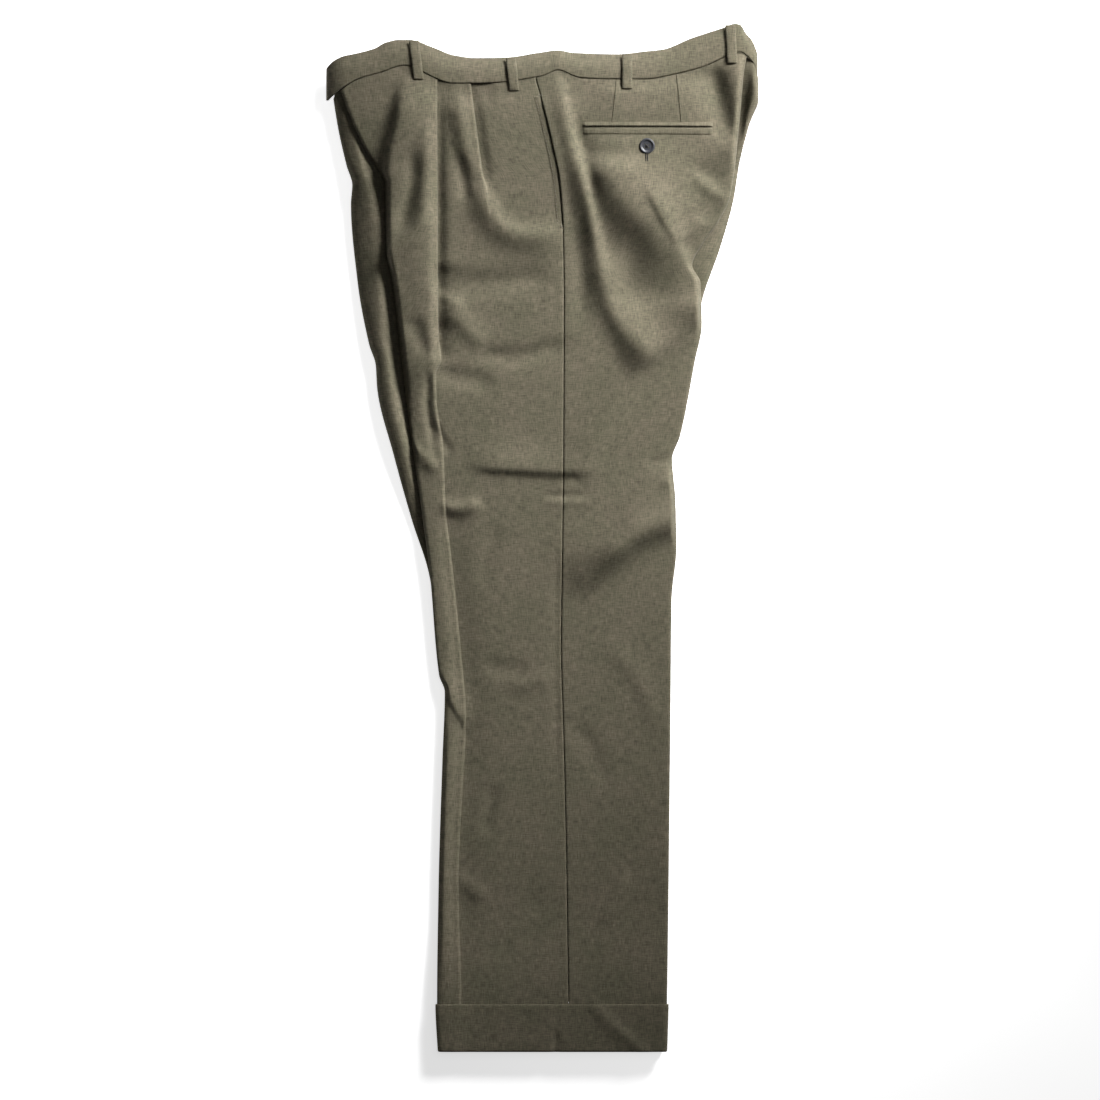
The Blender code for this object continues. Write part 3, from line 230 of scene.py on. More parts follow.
# --- soft folds: height, half-width on the left of the path, on its right, path ---
# Left and right are as seen going along the path; a negative height is a trough.
FOLDS = (  # columns: height, left width, right width, path
    # seat and hip
    # roll from the hip
    (5, 6, 16, ((10, 507), (17, 477), (23, 448), (30, 418), (39, 387), (46, 358), (52, 328),
        (58, 297), (63, 261))),
    # the roll's lower end
    (1.4, 7.5, 9.5, ((50, 355), (58, 313), (63, 277), (70, 245), (82, 219), (99, 196))),
    # valley beside the roll
    (-2.6, 8.5, 5, ((32, 448), (37, 423), (44, 395), (51, 366), (59, 339))),
    # seat
    (10.5, 44, 28.5, ((63, 423), (69, 397), (76, 376), (86, 358), (101, 341), (120, 325),
        (149, 301))),
    # hollow below the welt
    (-3.2, 9.5, 12.5, ((32, 410), (50, 403), (74, 400), (97, 400), (124, 404))),
    # lower seat, left arm
    (4.4, 19, 17, ((57, 313), (67, 269), (78, 242), (92, 217), (109, 196), (128, 175))),
    # lower seat, right arm
    (6.2, 25, 14.5, ((80, 175), (109, 194), (132, 211), (158, 232), (191, 261))),
    # roll off the crotch
    (6.5, 8.5, 38, ((120, 330), (139, 301), (154, 280), (166, 250), (168, 213))),
    (-1.6, 8.5, 8.5, ((40, 366), (40, 313), (42, 261), (40, 208))),
    # crease down to the crotch
    (2.4, 14.5, 3, ((105, 376), (116, 353), (125, 335), (134, 320), (155, 288))),
    (1.6, 5, 6.5, ((153, 381), (170, 369), (183, 359), (210, 349))),
    (-1.2, 7.5, 8.5, ((149, 393), (172, 383), (197, 366))),
    (2.6, 9.5, 7.5, ((132, 313), (155, 320), (174, 339))),
    (6.5, 5, 27.5, ((210, 523), (209, 460), (205, 376))),
    # hollow before the centre back
    (-6, 11.5, 16, ((174, 511), (180, 481), (187, 456), (193, 431), (197, 402))),
    # hollow under the seat
    (-4, 27.5, 21, ((61, 267), (88, 259), (120, 258), (153, 263), (185, 271))),
    # roll under the waistband
    (3.2, 14.5, 35.5, ((42, 464), (71, 466), (113, 467), (155, 469), (185, 473))),
    # front
    # roll beside the crease
    (2.2, 7.5, 8.5, ((-120, 444), (-121, 413), (-122, 382), (-123, 350), (-124, 318))),
    # beak below the pleat
    (4.2, 11.5, 8.5, ((-111, 349), (-124, 330), (-136, 317), (-149, 306), (-166, 293),
        (-183, 284))),
    # hollow above the beak
    (-3, 8.5, 7.5, ((-131, 408), (-134, 381), (-139, 355), (-145, 332), (-153, 313))),
    # drop beside the fly
    (4, 21, 3.5, ((-145, 481), (-152, 434), (-159, 413), (-162, 397), (-163, 379), (-164, 349))),
    # front edge
    (4.6, 46, 8.5, ((-134, 523), (-144, 471), (-151, 429), (-158, 387), (-162, 350), (-162, 322),
        (-160, 290), (-155, 259), (-149, 229), (-142, 198), (-133, 154), (-124, 103))),
    # valley on the crease
    (-3.2, 6.5, 5, ((-110, 513), (-109, 450), (-109, 397), (-109, 313), (-109, 261), (-108, 203),
        (-109, 145))),
    (-1.4, 7.5, 4, ((-109, 393), (-109, 355), (-109, 316), (-109, 284))),
    (-3.2, 19, 4, ((-109, 290), (-109, 261), (-108, 238))),
    (-2.6, 14.5, 4, ((-108, 232), (-108, 201), (-109, 181))),
    # valley on the pleat
    (-2.6, 4, 12.5, ((-78, 502), (-71, 455), (-67, 436), (-63, 409), (-58, 381), (-55, 360))),
    (1.1, 7.5, 7.5, ((-87, 469), (-85, 429), (-80, 397), (-74, 372))),
    (-2, 6.5, 6.5, ((-87, 408), (-83, 382), (-78, 343))),
    # hip to pocket
    (4.2, 9.5, 16, ((-71, 381), (-61, 355), (-48, 332), (-33, 320), (-13, 316), (6, 318),
        (32, 324))),
    (-2.4, 12.5, 12.5, ((-107, 263), (-76, 266), (-44, 268), (19, 276))),
    (2.2, 6.5, 6.5, ((-122, 259), (-103, 251), (-78, 242))),
    (2, 12.5, 9.5, ((-107, 248), (-91, 234), (-78, 219), (-59, 196))),
    (-2.2, 8.5, 11.5, ((-80, 183), (-55, 191), (-28, 191), (-2, 196), (40, 208))),
    (-2, 10.5, 10.5, ((-113, 176), (-94, 170), (-76, 167), (-46, 162))),
    (-2, 8.5, 8.5, ((-136, 234), (-128, 211), (-120, 187))),
    # knee
    (-2.4, 4, 4, ((-121, 183), (-119, 166), (-120, 140), (-116, 112), (-111, 82))),
    # crease across the knee
    (3, 21, 4.5, ((-86, 80), (-57, 74), (-23, 72), (10, 70), (40, 70), (69, 73))),
    (-1.3, 4, 3, ((55, 45), (34, 45), (15, 45), (-4, 46))),
    (0.8, 5, 5, ((-2, 40), (25, 38), (61, 40))),
    (-0.35, 4, 4, ((27, 70), (36, 61), (44, 52), (52, 41))),
    (3.2, 7.5, 7.5, ((-108, 41), (-98, 33), (-86, 31), (-75, 33), (-63, 43))),
    (-1.5, 5, 5, ((-116, 124), (-105, 103), (-92, 85))),
    (2, 6.5, 7.5, ((-145, 97), (-130, 91), (-118, 79), (-107, 66))),
    (3.8, 27.5, 12.5, ((32, 59), (45, 87), (62, 114), (80, 143), (100, 175), (122, 208))),
    (2, 4, 5, ((120, 57), (134, 59), (166, 70))),
    (-1.8, 5, 6.5, ((107, 76), (128, 82), (155, 91))),
    # big fold behind the knee
    (6.8, 33.5, 16, ((19, -60), (44, -41), (67, -22), (90, -1), (113, 19), (141, 40), (181, 68))),
    (5.2, 16, 13.5, ((50, -33), (74, -15), (97, 2), (120, 11), (145, 15), (183, 15))),
    (1.6, 14.5, 17, ((149, 97), (124, 59), (103, 30), (82, -2))),
    (-1, 8.5, 8.5, ((-44, 19), (-57, -18), (-67, -54))),
    # lower leg
    # valley on the crease
    (-2.5, 21, 7.5, ((-107, 103), (-100, 3), (-91, -86), (-84, -170), (-83, -191), (-87, -264),
        (-91, -338), (-90, -422), (-89, -548))),
    # strip below the lap
    (2.1, 18, 4, ((-101, -159), (-101, -212), (-103, -296), (-106, -380), (-107, -495))),
    # lap of the pressed edge
    (2.1, 18, 2.5, ((-113, -136), (-103, -158), (-92, -176), (-84, -190), (-74, -205))),
    (-1.5, 7.5, 7.5, ((-48, -254), (-55, -281), (-63, -314))),
    (-0.7, 3, 5, ((16, 9), (16, -65), (16, -170), (17, -275))),
    (-1.1, 8.5, 8.5, ((-65, -132), (-40, -137), (-13, -136))),
    (1.1, 8.5, 7.5, ((-38, -159), (-13, -152), (15, -142))),
    (1.2, 8.5, 9.5, ((-90, -350), (-76, -365), (-57, -380))),
    (1, 6.5, 7.5, ((-4, -380), (-19, -406), (-36, -438))),
    (1.2, 7.5, 8.5, ((92, -346), (76, -380), (59, -409))),
    (-1, 9.5, 9.5, ((25, -191), (50, -217), (67, -264))),
    (-0.9, 9.5, 9.5, ((-69, -443), (-23, -411), (-2, -359))),
    (-1.3, 4, 3, ((15, -512), (14, -531), (13, -554))),
    (1.2, 5, 8.5, ((46, -474), (65, -499), (82, -516), (103, -533), (120, -552))),
    (1, 10.5, 10.5, ((61, -107), (103, -149), (124, -212))),
)

UNDER_FOLDS = (  # the right leg's, in the same columns
    (-6.5, 4.2, 13.7, ((216.3, 506.6), (214.2, 481.4), (211.1, 449.9), (207.9, 418.4),
        (205.8, 386.9), (202.7, 355.4), (195.3, 323.9), (182.7, 300.8), (165.9, 281.9))),
    (6, 7.4, 6.3, ((219.5, 506.6), (223.7, 481.4), (222.6, 456.2), (216.3, 433.1), (209, 407.9),
        (205.8, 378.5))),
    (9, 5, 20, ((-218.4, 464.6), (-203, 428.9), (-186, 386.9), (-174, 351.2), (-169, 313.4),
        (-167, 271.4), (-164, 218.9), (-157.5, 166.4), (-147, 113.9), (-131, 50.9),
        (-123.9, -1.6))),
    (2.2, 6.3, 4.2, ((-204.8, 359.6), (-195.3, 369.1), (-184.8, 378.5), (-172.2, 389))),
    (-1.8, 5.2, 7.4, ((-207.9, 439.4), (-199.5, 407.9), (-193.2, 384.8))),
)
UNDER_FADE = (0.5, 5.0)  # mm past the left leg's edge, where they rise
FOLD_GAIN = 1.2  # the upper folds' heights against the table's
FOLD_FADE = 0.28  # share of a fold's length over which each end dies out
FOLD_REACH = 2.6  # half-widths beyond which a fold is nothing
EDGE_FADE = 6.0  # mm in from a panel's edge
BAND_FADE = (-4.0, 16.0)  # mm below the waist seam
SEAM_EDGE = ((0.0, 2.4), (0.05, 1.2), (0.3, 0.45), (0.8, 0.15), (1.8, 0.03))  # mm in, mm down
SEAM_FADE = 12.0  # mm above the turn-ups

# --- the look of the wool: colours, noise in turns a metre, and its contrasts ---
WOOL_GREEN = (0.071, 0.066, 0.044)
WOOL_BROWN = (0.086, 0.075, 0.053)
# the hidden inner layers take the wool darkened to this share: painted shade for the dark inside of
# the trousers
INSIDE_PAINTED_SHADE = 0.55
THREAD_FINE, THREAD_LONG = 1100, 110
PATCH_SCALE, BROAD_SCALE = 130, 18
WEAVE_PITCH = 0.00062
TONE_STOPS, MOTTLE_STOPS = (0.36, 0.64), (0.30, 0.70)
THREAD_TONES, MOTTLE_TONES = (0.62, 1.38), (0.92, 1.08)

CLOUD_STOPS, PLAIN_TONES, PLAIN_SCALE = (0.3, 0.7), (0.75, 1.25), 900.0
THREAD_COLOUR = (0.10, 0.088, 0.066)
DARK_THREAD_COLOUR = (0.022, 0.020, 0.017)
HORN_COLOUR = (0.020, 0.021, 0.025)

# --- the studio, in metres ---
CAMERA_AT = (0.0084, -0.0121, 5.0)
LENS, SENSOR = 155.8, 36.0
FLOOR_HALF, FLOOR_Z, PAPER_TONES = 3.0, -0.0004, (0.83, 0.86)
GLOW_FALLS = (-0.75, -0.65, 0.0)  # the way in which the paper's glow falls off
GLOW_SPAN = (-0.1, 0.8)
GLOW = (0.80, 0.47)
WORLD_LIGHT = 0.09
LIGHTS = (  # columns: name, place, aim, size, watts, spread in degrees
    ("key", (0.95, 1.25, 0.68), (-0.14, 0.07, 0.0), (0.8, 0.55), 11.4, 45.0),
    ("top", (0.25, 0.05, 1.30), (0.05, 0.10, 0.0), (0.9, 0.9), 1.5, 180.0),
)

# --- how finely things are made ---
RASTER_BOX = (-232.0, 232.0, -542.0, 542.0)
RASTER_STEP, RASTER_PASSES = 1.2, 4
PANEL_RUN, PLEAT_RUN, FRONT_RUN = 12, 6, 8  # columns before, between and past the pleats
PLEAT_TURN, BACK_RUN = 7, 26  # and in each pleat's turn, and over the back
RING_STEPS = 3  # between the columns of a turn-up's section
ROW_STEP, RUN_STEP = 2.4, 2.3


# --- reading the tables ---
def curve(rows, column=1):
    """A smooth function through a table's column, against its first."""
    table = np.array(sorted([(row[0], row[column]) for row in rows]), float)
    xs, ys = table[:, 0], table[:, 1]
    chords = np.diff(ys) / np.diff(xs)
    before, after = chords[:-1], chords[1:]
    total = np.where(before * after > 0, before + after, 1.0)
    inner = np.where(before * after > 0, 2.0 * before * after / total, 0.0)
    ms = np.concatenate([chords[:1], inner, chords[-1:]])

    def value(x):
        x = np.clip(np.asarray(x, float), xs[0], xs[-1])
        i = np.clip(np.searchsorted(xs, x, side="right") - 1, 0, len(xs) - 2)
        h = xs[i + 1] - xs[i]
        t = (x - xs[i]) / h
        return (ys[i] * (1 + 2 * t) * (1 - t) ** 2 + ms[i] * h * t * (1 - t) ** 2
                + ys[i + 1] * t * t * (3 - 2 * t) + ms[i + 1] * h * t * t * (t - 1))

    return value


outseam_x, crease_x, pleat_x = curve(OUTSEAM), curve(CREASE), curve(PLEAT)
front_x, back_x = curve(FRONT), curve(BACK)
under_front_x, under_back_x = curve(UNDER_FRONT), curve(UNDER_BACK)
seam_y, top_y = curve(WAIST_SEAM), curve(WAIST_TOP)
front_under, front_top = curve(FRONT_STACK, 1), curve(FRONT_STACK, 2)
back_under, back_top = curve(BACK_STACK, 1), curve(BACK_STACK, 2)
crown = curve(CROWN)
FIRST_PLEAT = [curve(CREASE_FOLD, column) for column in (1, 2, 3)]
SECOND_PLEAT = [curve(PLEAT_FOLD, column) for column in (1, 2, 3)]
PLEATS = ((pleat_x, SECOND_PLEAT, PLEAT_SPREADS[0]), (crease_x, FIRST_PLEAT, PLEAT_SPREADS[1]))
FRONT_FORM = (under_front_x, front_x, front_under, 1)  # the right leg's panels
BACK_FORM = (under_back_x, back_x, back_under, -1)


def smooth(a, b, x):
    """0 at a, 1 at b, eased between."""
    t = np.clip((x - a) / (b - a), 0.0, 1.0)
    return t * t * (3.0 - 2.0 * t)


def mix(a, b, t):
    return a + (b - a) * t


# --- the form of the upper layer ---
def cuffed(y):
    """0 well above the turn-ups, 1 inside them."""
    return smooth(CUFF_TOP + CUFF_RUN, CUFF_TOP + 4.0, y)


def catmull(a, b, c, d, t):
    """From b to c on a smooth curve through all four."""
    return 0.5 * (2 * b + (c - a) * t + (2 * a - 5 * b + 4 * c - d) * t ** 2
                  + (3 * b - a - 3 * c + d) * t ** 3)


def smooth_path(points, pieces=5):
    """A fold's path through its points, rounded."""
    p = np.array(points, float)
    p = np.vstack([2 * p[0] - p[1], p, 2 * p[-1] - p[-2]])
    t = np.linspace(0, 1, pieces, endpoint=False)[:, None]
    out = []
    for a, b, c, d in zip(p, p[1:], p[2:], p[3:]):
        out.append(catmull(a, b, c, d, t))
    return np.vstack(out + [p[-2][None]])


def one_fold(x, y, height, left, right, path):
    """One soft fold: highest along its path, dying out at both ends."""
    best = np.full(x.shape, 1e9)
    side = np.ones(x.shape)
    share = np.zeros(x.shape)
    lengths = np.hypot(*np.diff(path, axis=0).T)
    start = np.concatenate([[0.0], np.cumsum(lengths)])
    for k, ((ax, ay), (bx, by)) in enumerate(zip(path, path[1:])):
        dx, dy = bx - ax, by - ay
        t = np.clip(((x - ax) * dx + (y - ay) * dy) / lengths[k] ** 2, 0, 1)
        away = np.hypot(x - ax - t * dx, y - ay - t * dy)
        closer = away < best
        best = np.where(closer, away, best)
        side = np.where(closer, dx * (y - ay) - dy * (x - ax), side)
        share = np.where(closer, (start[k] + t * lengths[k]) / start[-1], share)
    width = np.where(side > 0, left, right)
    ends = smooth(0.0, FOLD_FADE, share) * smooth(0.0, FOLD_FADE, 1.0 - share)
    return height * ends * np.exp(-(best / width) ** 2)


def softened(field, passes):
    """A raster blurred by three-point averages both ways."""
    for _ in range(passes):
        field = np.pad(field, 1, mode="edge")
        field = (field[:-2] + 2 * field[1:-1] + field[2:]) / 4
        field = (field[:, :-2] + 2 * field[:, 1:-1] + field[:, 2:]) / 4
    return field


@functools.cache
def relief_raster():
    """All the soft folds together, on a grid over the legs."""
    xs = np.arange(RASTER_BOX[0], RASTER_BOX[1], RASTER_STEP)
    ys = np.arange(RASTER_BOX[2], RASTER_BOX[3], RASTER_STEP)
    total = np.zeros((len(ys), len(xs)))
    for height, left, right, points in FOLDS:
        path = smooth_path(points)
        reach = FOLD_REACH * max(left, right)
        i0, i1 = np.searchsorted(xs, (path[:, 0].min() - reach, path[:, 0].max() + reach))
        j0, j1 = np.searchsorted(ys, (path[:, 1].min() - reach, path[:, 1].max() + reach))
        x, y = np.meshgrid(xs[i0:i1], ys[j0:j1])
        total[j0:j1, i0:i1] += one_fold(x, y, height, left, right, path)
    return softened(total, RASTER_PASSES)


def relief(x, y):
    """Height that the soft folds add, read from the raster."""
    field = relief_raster()
    u = np.clip((x - RASTER_BOX[0]) / RASTER_STEP, 0, field.shape[1] - 1.001)
    v = np.clip((y - RASTER_BOX[2]) / RASTER_STEP, 0, field.shape[0] - 1.001)
    i, j = u.astype(int), v.astype(int)
    u, v = u - i, v - j
    return mix(mix(field[j, i], field[j, i + 1], u), mix(field[j + 1, i], field[j + 1, i + 1], u), v)


def pleat_set(x, y):
    """How far the base of the pleats lies below the band's edge."""
    across = smooth(*PLEATED_FROM, x) * smooth(*PLEATED_TO, x)
    return PLEAT_SET * across * smooth(*PLEAT_BASE, seam_y(x) - y)


def lay(x, y):
    """Height of the upper panels' outer face, without the soft folds."""
    left, right = front_x(y), back_x(y)
    u = np.clip((x - left) / (right - left), 0.0, 1.0)
    edge = mix(front_top(y), back_top(y), u)
    return (edge + crown(y) * np.sin(np.pi * u) ** 0.75 + CUFF_LAYERS * CUFF_LIFT * cuffed(y)
            - pleat_set(x, y))


def folded_height(x, y):
    """The soft folds' height, fading out at the edges and the waistband."""
    inside = smooth(0.0, EDGE_FADE, np.minimum(x - front_x(y), back_x(y) - x))
    return FOLD_GAIN * relief(x, y) * inside * smooth(*BAND_FADE, seam_y(x) - y)


def pleat_rise(x, y, pleats=2):
    """Height that the pleats' underlaps add to their left; pleats=1 is the second only."""
    total = np.zeros(np.broadcast(x, y).shape)
    for line, (lap, _, step), spread in PLEATS[:pleats]:
        edge = line(y)
        rise = step(y) * smooth(edge - lap(y) - spread, edge - lap(y), x)
        total = total + np.where(x < edge, rise, 0.0)
    return total


def bent(x, row_y):
    """The true y of a row at x; rows bend with the waist seam."""
    follow = smooth(WAIST_Y - BLEND_LENGTH, WAIST_Y, row_y)
    clear = END_CLEAR * smooth(*END_CLEAR_FROM, np.abs(x)) + BACK_END_CLEAR * smooth(*BACK_END_FROM, x)
    return row_y + (seam_y(x) - WAIST_Y - clear) * follow


def on_row(feature, row_y):
    """A feature's x and true y on each row."""
    y = row_y
    for _ in range(4):
        x = feature(y)
        y = bent(x, row_y)
    return x, y


def under_bent(x, row_y, raised=0.0):
    """The right leg's rows, whose waist seam runs straight on the surface."""
    line = mix(UNDER_SEAM[0], UNDER_SEAM[1], (x + BAND_END) / (2.0 * BAND_END))
    meeting = raised * smooth(*UNDER_MEETING, np.abs(x)) * (seam_y(x) - UNDER_CLEAR - line)
    return row_y + (line + meeting - WAIST_Y) * smooth(WAIST_Y - BLEND_LENGTH, WAIST_Y, row_y)


# --- sections: lists of columns, each (x, z, share of the soft folds) per row ---
def run(x_from, x_to, count, row_y):
    """Columns evenly over the layers beneath."""
    columns = []
    for i in range(count):
        x = mix(x_from, x_to, i / count)
        y = bent(x, row_y)
        columns.append((x, lay(x, y) + pleat_rise(x, y), np.ones_like(x)))
    return columns


def fold_columns(x_line, row_y, pleats_beneath, pleat):
    """A pleat's turn, from the cloth to its right up onto the cloth to its left."""
    underlap, folded, rise = (column(bent(x_line, row_y)) for column in pleat)
    gap = np.maximum(PLEAT_LEAST_GAP, rise / 2.0 - CLOTH)
    fold = ((-underlap * 0.4, 0.0), (-underlap, 0.0), (-underlap - gap / 2, gap / 2),
            (-underlap, gap), (-2.0, gap), (0.0, gap + CLOTH * 0.9), (-1.6, rise))
    step = ((3.3, 0.0), (2.8, rise * 0.1), (2.2, rise * 0.3), (1.6, rise * 0.54),
            (1.0, rise * 0.78), (0.2, rise * 0.95), (-1.2, rise))
    columns = []
    for (fx, fz), (sx, sz) in zip(fold, step):
        x = x_line + mix(sx, fx, folded)
        y = bent(x, row_y)
        base = lay(x, y) + pleat_rise(x, y, pleats_beneath)
        columns.append((x, base + mix(sz, fz, folded), np.ones_like(x)))
    return columns


def wrap_columns(x_edge, towards, z_top, z_bottom):
    """A side fold, over the edge and on beneath; towards is +1 or -1, inwards."""
    columns = []
    middle, half = (z_top + z_bottom) / 2.0, (z_top - z_bottom) / 2.0
    for i in range(1, TURN_STEPS + 1):
        angle = pi * i / TURN_STEPS
        x = x_edge + towards * FOLD_RX * (1.0 - sin(angle))
        share = max(0.0, cos(angle)) * np.ones_like(x)
        columns.append((x, middle + half * cos(angle), share))
    x = x_edge + towards * (FOLD_RX + TUCK)
    columns.append((x, z_bottom, np.zeros_like(x)))
    return columns


def left_leg_bottom(under, y):
    """Height of the left leg's lower side, just clear of the right leg."""
    return under(y) + CLEAR + CUFF_LAYERS * CUFF_LIFT * cuffed(y)


def front_left_columns(row_y):
    """The front's columns, from the outseam over both pleats and round the front fold."""
    x_seam, x_pleat, x_crease = (on_row(line, row_y)[0] for line in (outseam_x, pleat_x, crease_x))
    x_front, y_front = on_row(front_x, row_y)
    x_turn = x_front + FOLD_RX
    (right_2, left_2), (right_1, left_1) = PLEAT_MARGINS
    columns = run(x_seam - GAP / 2, x_pleat + right_2, PANEL_RUN, row_y)
    columns += fold_columns(x_pleat, row_y, 0, SECOND_PLEAT)
    columns += run(x_pleat - left_2, x_crease + right_1, PLEAT_RUN, row_y)
    columns += fold_columns(x_crease, row_y, 1, FIRST_PLEAT)
    columns += run(x_crease - left_1, x_turn, FRONT_RUN, row_y)
    columns += run(x_turn, x_turn, 1, row_y)
    return columns + wrap_columns(x_front, 1, columns[-1][1], left_leg_bottom(front_under, y_front))


def back_left_columns(row_y):
    """The back's columns, from the outseam round the back fold."""
    x_back, y_back = on_row(back_x, row_y)
    x_turn = x_back - FOLD_RX
    columns = run(on_row(outseam_x, row_y)[0] + GAP / 2, x_turn, BACK_RUN, row_y)
    columns += run(x_turn, x_turn, 1, row_y)
    return columns + wrap_columns(x_back, -1, columns[-1][1], left_leg_bottom(back_under, y_back))


def right_leg_columns(row_y, edge, cover, under, towards):
    """Right outseam, along the surface, over the side fold and in beneath the left leg.

    A column's last value is 0 on the surface and 1 on the upper side.
    """
    x_edge = edge(under_bent(edge(row_y), row_y))
    y_edge = under_bent(x_edge, row_y)
    x_cover = cover(y_edge)
    z_floor = CUFF_LIFT * cuffed(y_edge)
    z_top = under(y_edge) + z_floor
    z_edge = mix(z_floor, z_top, UNDER_EDGE)
    reach = FOLD_RX + UNDER_REACH * np.maximum(0.0, (x_cover - x_edge) * towards)
    x_flat = x_edge + towards * FOLD_RX
    x_seam = outseam_x(row_y) - towards * GAP / 2
    columns = [(mix(x_seam, x_flat, i / 3), z_floor, 0.0) for i in range(3)]
    for i in range(4):
        angle = pi / 2 * i / 3
        columns.append((x_edge + towards * FOLD_RX * (1 - sin(angle)),
                        z_edge - (z_edge - z_floor) * cos(angle), i / 6))
    for i in range(1, 7):
        angle = pi / 2 * i / 6
        columns.append((x_edge + towards * reach * (1 - cos(angle)),
                        z_edge + (z_top - z_edge) * sin(angle), min(1.0, 0.5 + i / 6)))
    x_end = towards * (np.maximum(towards * x_cover, towards * x_edge) + FOLD_RX + TUCK)
    return columns + [(x_end, z_top, 1.0)]


# --- from sections to meshes ---
def refine(values, counts):
    """Columns resampled on smooth curves, with so many steps in each gap."""
    v = np.concatenate([2 * values[:, :1] - values[:, 1:2], values,
                        2 * values[:, -1:] - values[:, -2:-1]], axis=1)
    out = []
    for k, count in enumerate(counts):
        a, b, c, d = (v[:, k + i] for i in range(4))
        out += [catmull(a, b, c, d, t) for t in np.arange(count) / count]
    return np.stack(out + [values[:, -1]], axis=1)


def stacked(columns, part):
    """One value of every column, as an array by row and column."""
    return np.stack([column[part] + np.zeros_like(columns[0][0]) for column in columns], axis=1)


def refined(columns, counts):
    """The three parts of the columns, each resampled."""
    return [refine(stacked(columns, part), counts) for part in range(3)]


def steps_between(columns, fine):
    """How many steps each gap takes, at about one step's width."""
    widths = np.hypot(np.diff(stacked(columns, 0), axis=1), np.diff(stacked(columns, 1), axis=1))
    widest = np.percentile(widths, 85, axis=0)
    return [int(min(6, max(1, ceil(w / fine)))) for w in widest]


def linked(name, data):
    """A new object in the scene."""
    thing = bpy.data.objects.new(name, data)
    bpy.context.scene.collection.objects.link(thing)
    return thing


def placed(name, mesh, material):
    """A smooth object that rides on the part."""
    mesh.materials.append(material)
    mesh.shade_smooth()
    thing = linked(name, mesh)
    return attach(thing, "root")


def mesh_of(name, builder):
    """A bmesh made into a mesh."""
    mesh = bpy.data.meshes.new(name)
    builder.to_mesh(mesh)
    builder.free()
    return mesh


def cloth_mesh(name, grid, material, slot="wool", closed=False):
    """A smooth mesh over grid[row, column] in millimetres, with distances as its UV map."""
    rows, cols, _ = grid.shape
    verts = (grid.reshape(-1, 3) * MM)
    index = np.arange(rows * cols).reshape(rows, cols)
    if closed:
        index = np.concatenate([index, index[:, :1]], axis=1)
    faces = np.stack([index[:-1, :-1], index[1:, :-1], index[1:, 1:], index[:-1, 1:]],
                     axis=-1).reshape(-1, 4)
    a, b, c = verts[faces[:, 0]], verts[faces[:, 1]], verts[faces[:, 2]]
    lift = np.cross(b - a, c - a)[:, 2]
    if lift[np.argmax(verts[faces[:, 0]][:, 2])] < 0:
        faces = faces[:, ::-1]
    mesh = bpy.data.meshes.new(name)
    mesh.from_pydata([tuple(v) for v in verts], [], [tuple(f) for f in faces.tolist()])
    across = np.concatenate([np.zeros((rows, 1)), np.cumsum(
        np.linalg.norm(np.diff(grid, axis=1), axis=2), axis=1)], axis=1)
    across -= across[:, cols // 2:cols // 2 + 1]
    along = np.broadcast_to(-grid[:, :, 1], (rows, cols))
    uv = np.stack([across, along], axis=-1).reshape(-1, 2) * MM
    layer = mesh.uv_layers.new(name="cloth")
    corners = np.empty(len(mesh.loops), int)
    mesh.loops.foreach_get("vertex_index", corners)
    layer.data.foreach_set("uv", uv[corners].ravel())
    return placed(name, mesh, material)


def cloth_piece(node, grid, material, flat, rests_on, **form):
    """A cloth mesh in place of a CAD node, which is hidden."""
    piece = cloth_mesh(node + "_cloth", grid, material, **form)
    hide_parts(node)
    return piece


def panel_rows():
    """The rows of a leg, from the waist seam down into the turn-up."""
    top, bottom = WAIST_Y - GAP / 2, HEM_Y + HEM_INSET
    return np.linspace(top, bottom, int((top - bottom) / ROW_STEP))


def seam_edge(first, towards, row_y):
    """A panel's edge at the outseam: turned down into the seam, then rounding over."""
    columns = []
    for away, down in SEAM_EDGE:
        x = first[0] + towards * away
        y = bent(x, row_y)
        z = lay(x, y) + pleat_rise(x, y) - down * smooth(CUFF_TOP, CUFF_TOP + SEAM_FADE, row_y)
        columns.append((x, z, np.ones_like(x)))
    return columns


def pocket_mouth(x, y):
    """Behind the side pocket's opening the back panel stands a little proud."""
    top, bottom = POCKET_EDGE[:2]
    along = smooth(*MOUTH_BELOW, y - bottom) * smooth(*MOUTH_ABOVE, y - top)
    away = x - outseam_x(y)
    return np.where(away > 0, MOUTH_LIFT * np.exp(-(away / MOUTH_WIDTH) ** 2) * along, 0.0)


def left_panel_grid(columns_of, towards):
    """A panel of the upper leg; towards is -1 or +1, away from the outseam."""
    row_y = panel_rows()
    columns = columns_of(row_y)
    columns = seam_edge(columns[0], towards, row_y) + columns[1:]
    counts = steps_between(columns, RUN_STEP)
    x, z, share = refined(columns, counts)
    y = bent(x, row_y[:, None])
    z = z + np.clip(share, 0, 1) * (folded_height(x, y) + pocket_mouth(x, y))
    return np.stack([x, y, z], axis=-1)


def under_relief(x, y):
    """The right leg's folds; none rises beneath the left leg."""
    total = np.zeros(x.shape)
    for height, left, right, points in UNDER_FOLDS:
        total = total + one_fold(x, y, height, left, right, smooth_path(points))
    past = np.maximum(front_x(y) - x, x - back_x(y))
    return np.where(total > 0, total * smooth(*UNDER_FADE, past), total)


def right_panel_grid(*form):
    """A panel of the lower leg, from its outseam on the surface round to its upper side."""
    row_y = panel_rows()
    columns = right_leg_columns(row_y, *form)
    counts = steps_between(columns, 2 * RUN_STEP)
    x, z, raised = refined(columns, counts)
    raised = np.clip(raised, 0, 1)
    y = under_bent(x, row_y[:, None], raised)
    z = np.maximum(z + raised * under_relief(x, y), UNDER_LEAST_Z)
    return np.stack([x, y, z], axis=-1)


